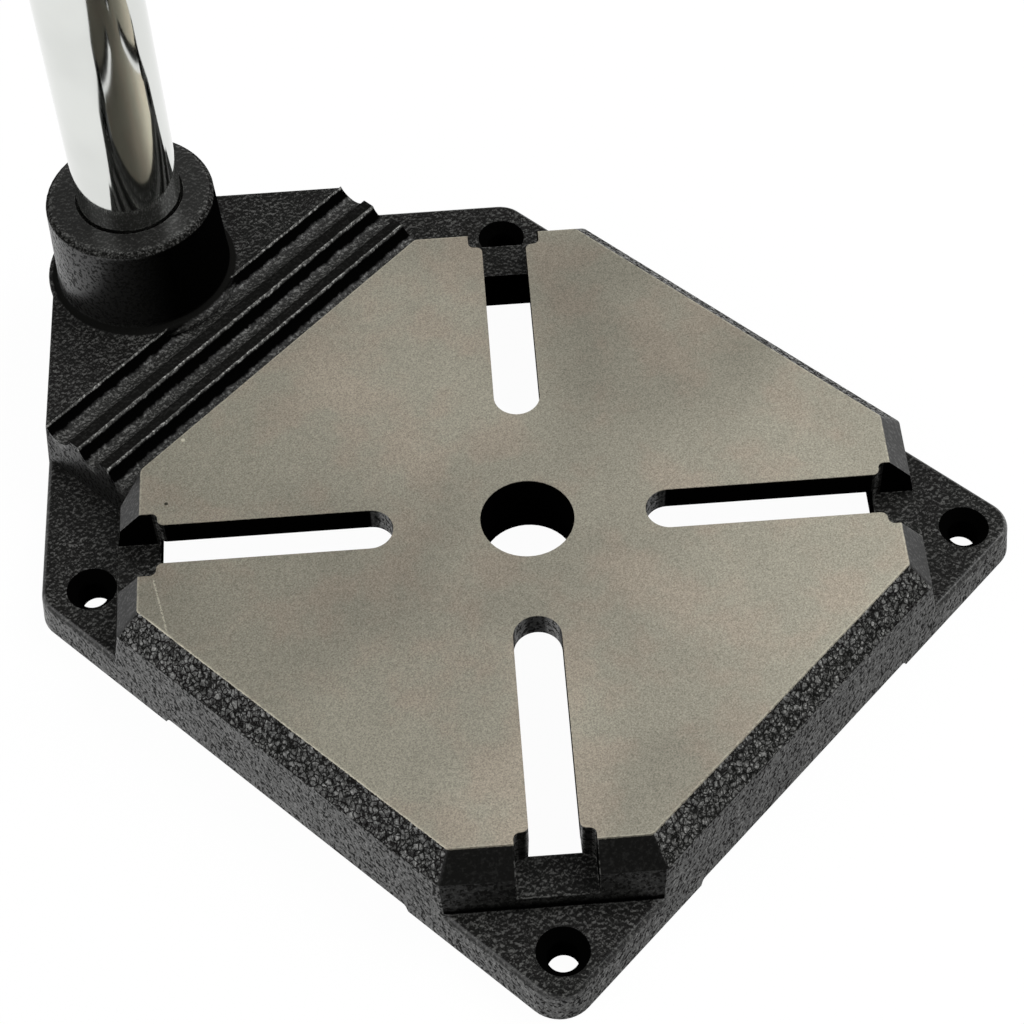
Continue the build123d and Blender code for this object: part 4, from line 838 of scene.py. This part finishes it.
class DRILLSTAND_OT_base(bpy.types.Operator):
    """Paints the base casting and grinds its table"""

    bl_idname = "drillstand.base"
    bl_label = "Base casting"

    def execute(self, context):
        dress(cast_iron_finish(context.scene.drillstand_casting), "base")
        return {"FINISHED"}


class DRILLSTAND_OT_column(bpy.types.Operator):
    """Chromes the column and finishes its plug and the buffer"""

    bl_idname = "drillstand.column"
    bl_label = "Column, plug and buffer"

    def execute(self, context):
        moulded = context.scene.drillstand_moulded
        dress(chrome_finish(context.scene.drillstand_metal), "column")
        dress(moulded_finish("plug plastic", moulded.plug, 0.5, 0.4, 0.03), "column_cap")
        dress(moulded_finish("buffer rubber", moulded.rubber, 0.75, 0.25, 0.05), "top_buffer")
        return {"FINISHED"}


class DRILLSTAND_OT_head(bpy.types.Operator):
    """Finishes the carriage and the column bracket"""

    bl_idname = "drillstand.head"
    bl_label = "Head castings"

    def execute(self, context):
        dress(die_cast_finish(context.scene.drillstand_metal), "carriage", "column_bracket")
        return {"FINISHED"}


class DRILLSTAND_OT_fasteners(bpy.types.Operator):
    """Plates the nuts, washers and seats, and blackens the screws"""

    bl_idname = "drillstand.fasteners"
    bl_label = "Screws, nuts and washers"

    plated = (
        "rod_nuts",
        "depth_rod_nut",
        "collar_nut",
        "clamp_washer",
        "spring_seat_lower",
        "spring_seat_upper",
        "clamp_bolt",
    )
    blackened = ("column_set_screw", "rack_screws", "collar_bolt", "shaft_ring", "clamp_lever")

    def execute(self, context):
        metal = context.scene.drillstand_metal
        dress(zinc_finish(metal), *self.plated)
        dress(blackened_finish(metal), *self.blackened)
        return {"FINISHED"}


class DRILLSTAND_OT_drive(bpy.types.Operator):
    """Finishes the rack, the pinion shaft and its bushes"""

    bl_idname = "drillstand.drive"
    bl_label = "Rack, pinion and bushes"

    def execute(self, context):
        metal = context.scene.drillstand_metal
        dress(rack_finish(metal), "rack")
        dress(turned_finish("turned shaft", metal.steel, middle_of("pinion_shaft"), 0), "pinion_shaft")
        dress(turned_finish("turned pin", metal.steel, middle_of("hub_pin"), 2), "hub_pin")
        dress(bronze_finish(metal), "left_bush", "right_bush")
        return {"FINISHED"}


class DRILLSTAND_OT_rods(bpy.types.Operator):
    """Cuts the threads of the guide rod and the depth rod"""

    bl_idname = "drillstand.rods"
    bl_label = "Threaded rods"

    def execute(self, context):
        metal = context.scene.drillstand_metal
        low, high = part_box("guide_rod")
        guide_shank = (low.z + 22 * MM, high.z - 28 * MM)
        for node, body, plain in (("guide_rod", "bracket", guide_shank), ("depth_rod", "carriage", None)):
            rod = threaded_rod(f"{node}_threaded", *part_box(node), metal.thread_pitch * MM, plain)
            rod.data.materials.append(turned_finish(f"{node} steel", metal.steel, middle_of(node), 2))
            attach(rod, body)
            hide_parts(node)
        return {"FINISHED"}


class DRILLSTAND_OT_spring(bpy.types.Operator):
    """Winds the return spring"""

    bl_idname = "drillstand.spring"
    bl_label = "Return spring"

    def execute(self, context):
        metal = context.scene.drillstand_metal
        low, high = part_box("return_spring")
        spring = coil_spring("return_spring_wound", low, high, metal.spring_wire * MM / 2, metal.spring_turns)
        spring.data.materials.append(spring_finish(metal))
        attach(spring, "bracket")
        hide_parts("return_spring")
        feed = next(joint for joint in frame["joints"] if joint["name"] == "carriage_feed")
        travel = feed["range_m"][1] - feed["range_m"][0]
        1 - travel / (high.z - low.z)
        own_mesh(spring)
        return {"FINISHED"}


class DRILLSTAND_OT_handle(bpy.types.Operator):
    """Finishes the feed handle and its ball knobs"""

    bl_idname = "drillstand.handle"
    bl_label = "Feed handle"

    def execute(self, context):
        metal = context.scene.drillstand_metal
        dress(blackened_finish(metal), "feed_hub")
        dress(zinc_finish(metal), "feed_spokes")
        knob = context.scene.drillstand_moulded.knob
        dress(moulded_finish("ball knob", knob, 0.2, 0.6, 0.01), "ball_knobs")
        return {"FINISHED"}


class DRILLSTAND_OT_depth_stop(bpy.types.Operator):
    """Knurls the depth stop's ring and finishes its thumb screw"""

    bl_idname = "drillstand.depth_stop"
    bl_label = "Depth stop"

    def execute(self, context):
        dark = tinted(context.scene.drillstand_metal.blackened, 2.0)
        ring = turned_finish("knurled ring", dark, middle_of("depth_stop_ring"), 2, knurl=36.0)
        dress(ring, "depth_stop_ring")
        knob = context.scene.drillstand_moulded.knob
        dress(moulded_finish("thumb screw", knob, 0.4, 0.5, 0.02), "depth_thumb_screw")
        return {"FINISHED"}


def seen_rays(finish):
    """1 for rays that show the background: from the camera, or by way of gloss or glass."""
    camera = finish.node("ShaderNodeLightPath", output="Is Camera Ray")
    return camera.either(camera.out("Is Glossy Ray")).either(camera.out("Is Transmission Ray"))


def staged_square(name, half_side, segments, material):
    """A flat square of the studio, which isn't part of the stand."""
    mesh = bmesh.new()
    bmesh.ops.create_grid(mesh, x_segments=segments, y_segments=segments, size=half_side)
    square = add_object(name, mesh)
    square.data.materials.append(material)
    return square


def aim(thing, place, target, front):
    """Puts a lamp or a board at a place, and turns its front axis towards a target."""
    thing.location = place
    thing.rotation_mode = "QUATERNION"
    thing.rotation_quaternion = (target - place).to_track_quat(front, "Y")


class DRILLSTAND_OT_stage(bpy.types.Operator):
    """Sets up the floor, the light and the camera"""

    bl_idname = "drillstand.stage"
    bl_label = "Studio"

    def execute(self, context):
        studio = context.scene.drillstand_studio
        self.floor(studio)
        self.sky(studio)
        self.lamp("right softbox", RIGHT_LAMP, studio.right_lamp)
        self.lamp("left softbox", LEFT_LAMP, studio.left_lamp)
        self.board(studio)
        self.camera(studio)
        bpy.context.scene.view_settings.view_transform = "Standard"
        return {"FINISHED"}

    def floor(self, studio):
        """A pale plain floor that keeps the shadow and shows almost white."""
        f = Finish("floor")
        plain = f.node("ShaderNodeBsdfDiffuse", inputs={"Color": tinted(studio.floor)})
        white = f.node("ShaderNodeEmission", inputs={"Color": WHITE, "Strength": 1.0})
        seen = seen_rays(f) * studio.floor_shine
        mixed = f.node("ShaderNodeMixShader", inputs={0: seen, 1: plain, 2: white})
        staged_square("floor", FLOOR_HALF, 8, f.done(mixed))

    def sky(self, studio):
        """Even light from all round, white where it is seen."""
        f = Finish("studio", "worlds")
        level = f.node("ShaderNodeBackground", inputs={"Color": WHITE, "Strength": studio.sky})
        white = f.node("ShaderNodeBackground", inputs={"Color": WHITE, "Strength": 1.0})
        mixed = f.node("ShaderNodeMixShader", inputs={0: seen_rays(f), 1: level, 2: white})
        bpy.context.scene.world = f.done(mixed, "ShaderNodeOutputWorld")

    def lamp(self, name, place, power):
        """A square softbox aimed at the table."""
        data = bpy.data.lights.new(name, "AREA")
        data.shape = "SQUARE"
        data.size = SOFTBOX_SIDE
        data.energy = power
        lamp = bpy.data.objects.new(name, data)
        aim(lamp, place, LAMP_TARGET, "-Z")
        bpy.context.scene.collection.objects.link(lamp)

    def board(self, studio):
        """A black board in front and above, which only bright metal and gloss mirror."""
        f = Finish("board")
        black = f.node("ShaderNodeEmission", inputs={"Color": BLACK, "Strength": 0.0})
        board = staged_square("board", studio.board / 2, 1, f.done(black))
        aim(board, BOARD_PLACE, Vector(), "Z")
        board.visible_camera = False
        board.visible_diffuse = False
        board.visible_shadow = False

    def camera(self, studio):
        """The photograph's viewpoint."""
        data = bpy.data.cameras.new("camera")
        data.sensor_width = SENSOR_MM
        data.lens = studio.lens
        data.clip_start = 0.01
        data.clip_end = 30.0
        camera = bpy.data.objects.new("camera", data)
        camera.location = studio.camera_place
        camera.rotation_euler = studio.camera_turn
        bpy.context.scene.collection.objects.link(camera)
        bpy.context.scene.camera = camera


class DRILLSTAND_PT_panel(bpy.types.Panel):
    """Buttons for the drill stand's pieces, with their colours and sizes"""

    bl_label = "Drill Stand"
    bl_idname = "DRILLSTAND_PT_panel"
    bl_space_type = "VIEW_3D"
    bl_region_type = "UI"
    bl_category = "Drill Stand"

    def draw(self, context):
        for operator in OPERATORS:
            self.layout.operator(operator.bl_idname)
        for name, group in SETTINGS.items():
            box = self.layout.box()
            box.label(text=group.__doc__)
            for field in group.__annotations__:
                box.prop(getattr(context.scene, name), field)


OPERATORS = (
    DRILLSTAND_OT_base,
    DRILLSTAND_OT_column,
    DRILLSTAND_OT_head,
    DRILLSTAND_OT_fasteners,
    DRILLSTAND_OT_drive,
    DRILLSTAND_OT_rods,
    DRILLSTAND_OT_spring,
    DRILLSTAND_OT_handle,
    DRILLSTAND_OT_depth_stop,
    DRILLSTAND_OT_stage,
)

SETTINGS = {
    "drillstand_casting": CastingSettings,
    "drillstand_metal": MetalSettings,
    "drillstand_moulded": MouldedSettings,
    "drillstand_studio": StudioSettings,
}


def register():
    """Adds the settings, the operators and the panel."""
    for name, group in SETTINGS.items():
        bpy.utils.register_class(group)
        setattr(bpy.types.Scene, name, bpy.props.PointerProperty(type=group))
    for operator in OPERATORS:
        bpy.utils.register_class(operator)
    bpy.utils.register_class(DRILLSTAND_PT_panel)


def unregister():
    """Takes them away again."""
    bpy.utils.unregister_class(DRILLSTAND_PT_panel)
    for operator in reversed(OPERATORS):
        bpy.utils.unregister_class(operator)
    for name, group in SETTINGS.items():
        delattr(bpy.types.Scene, name)
        bpy.utils.unregister_class(group)


def main():
    """Builds every piece and the studio."""
    register()
    for operator in OPERATORS:
        getattr(bpy.ops.drillstand, operator.bl_idname.split(".")[1])()


if __name__ == "__main__":
    main()
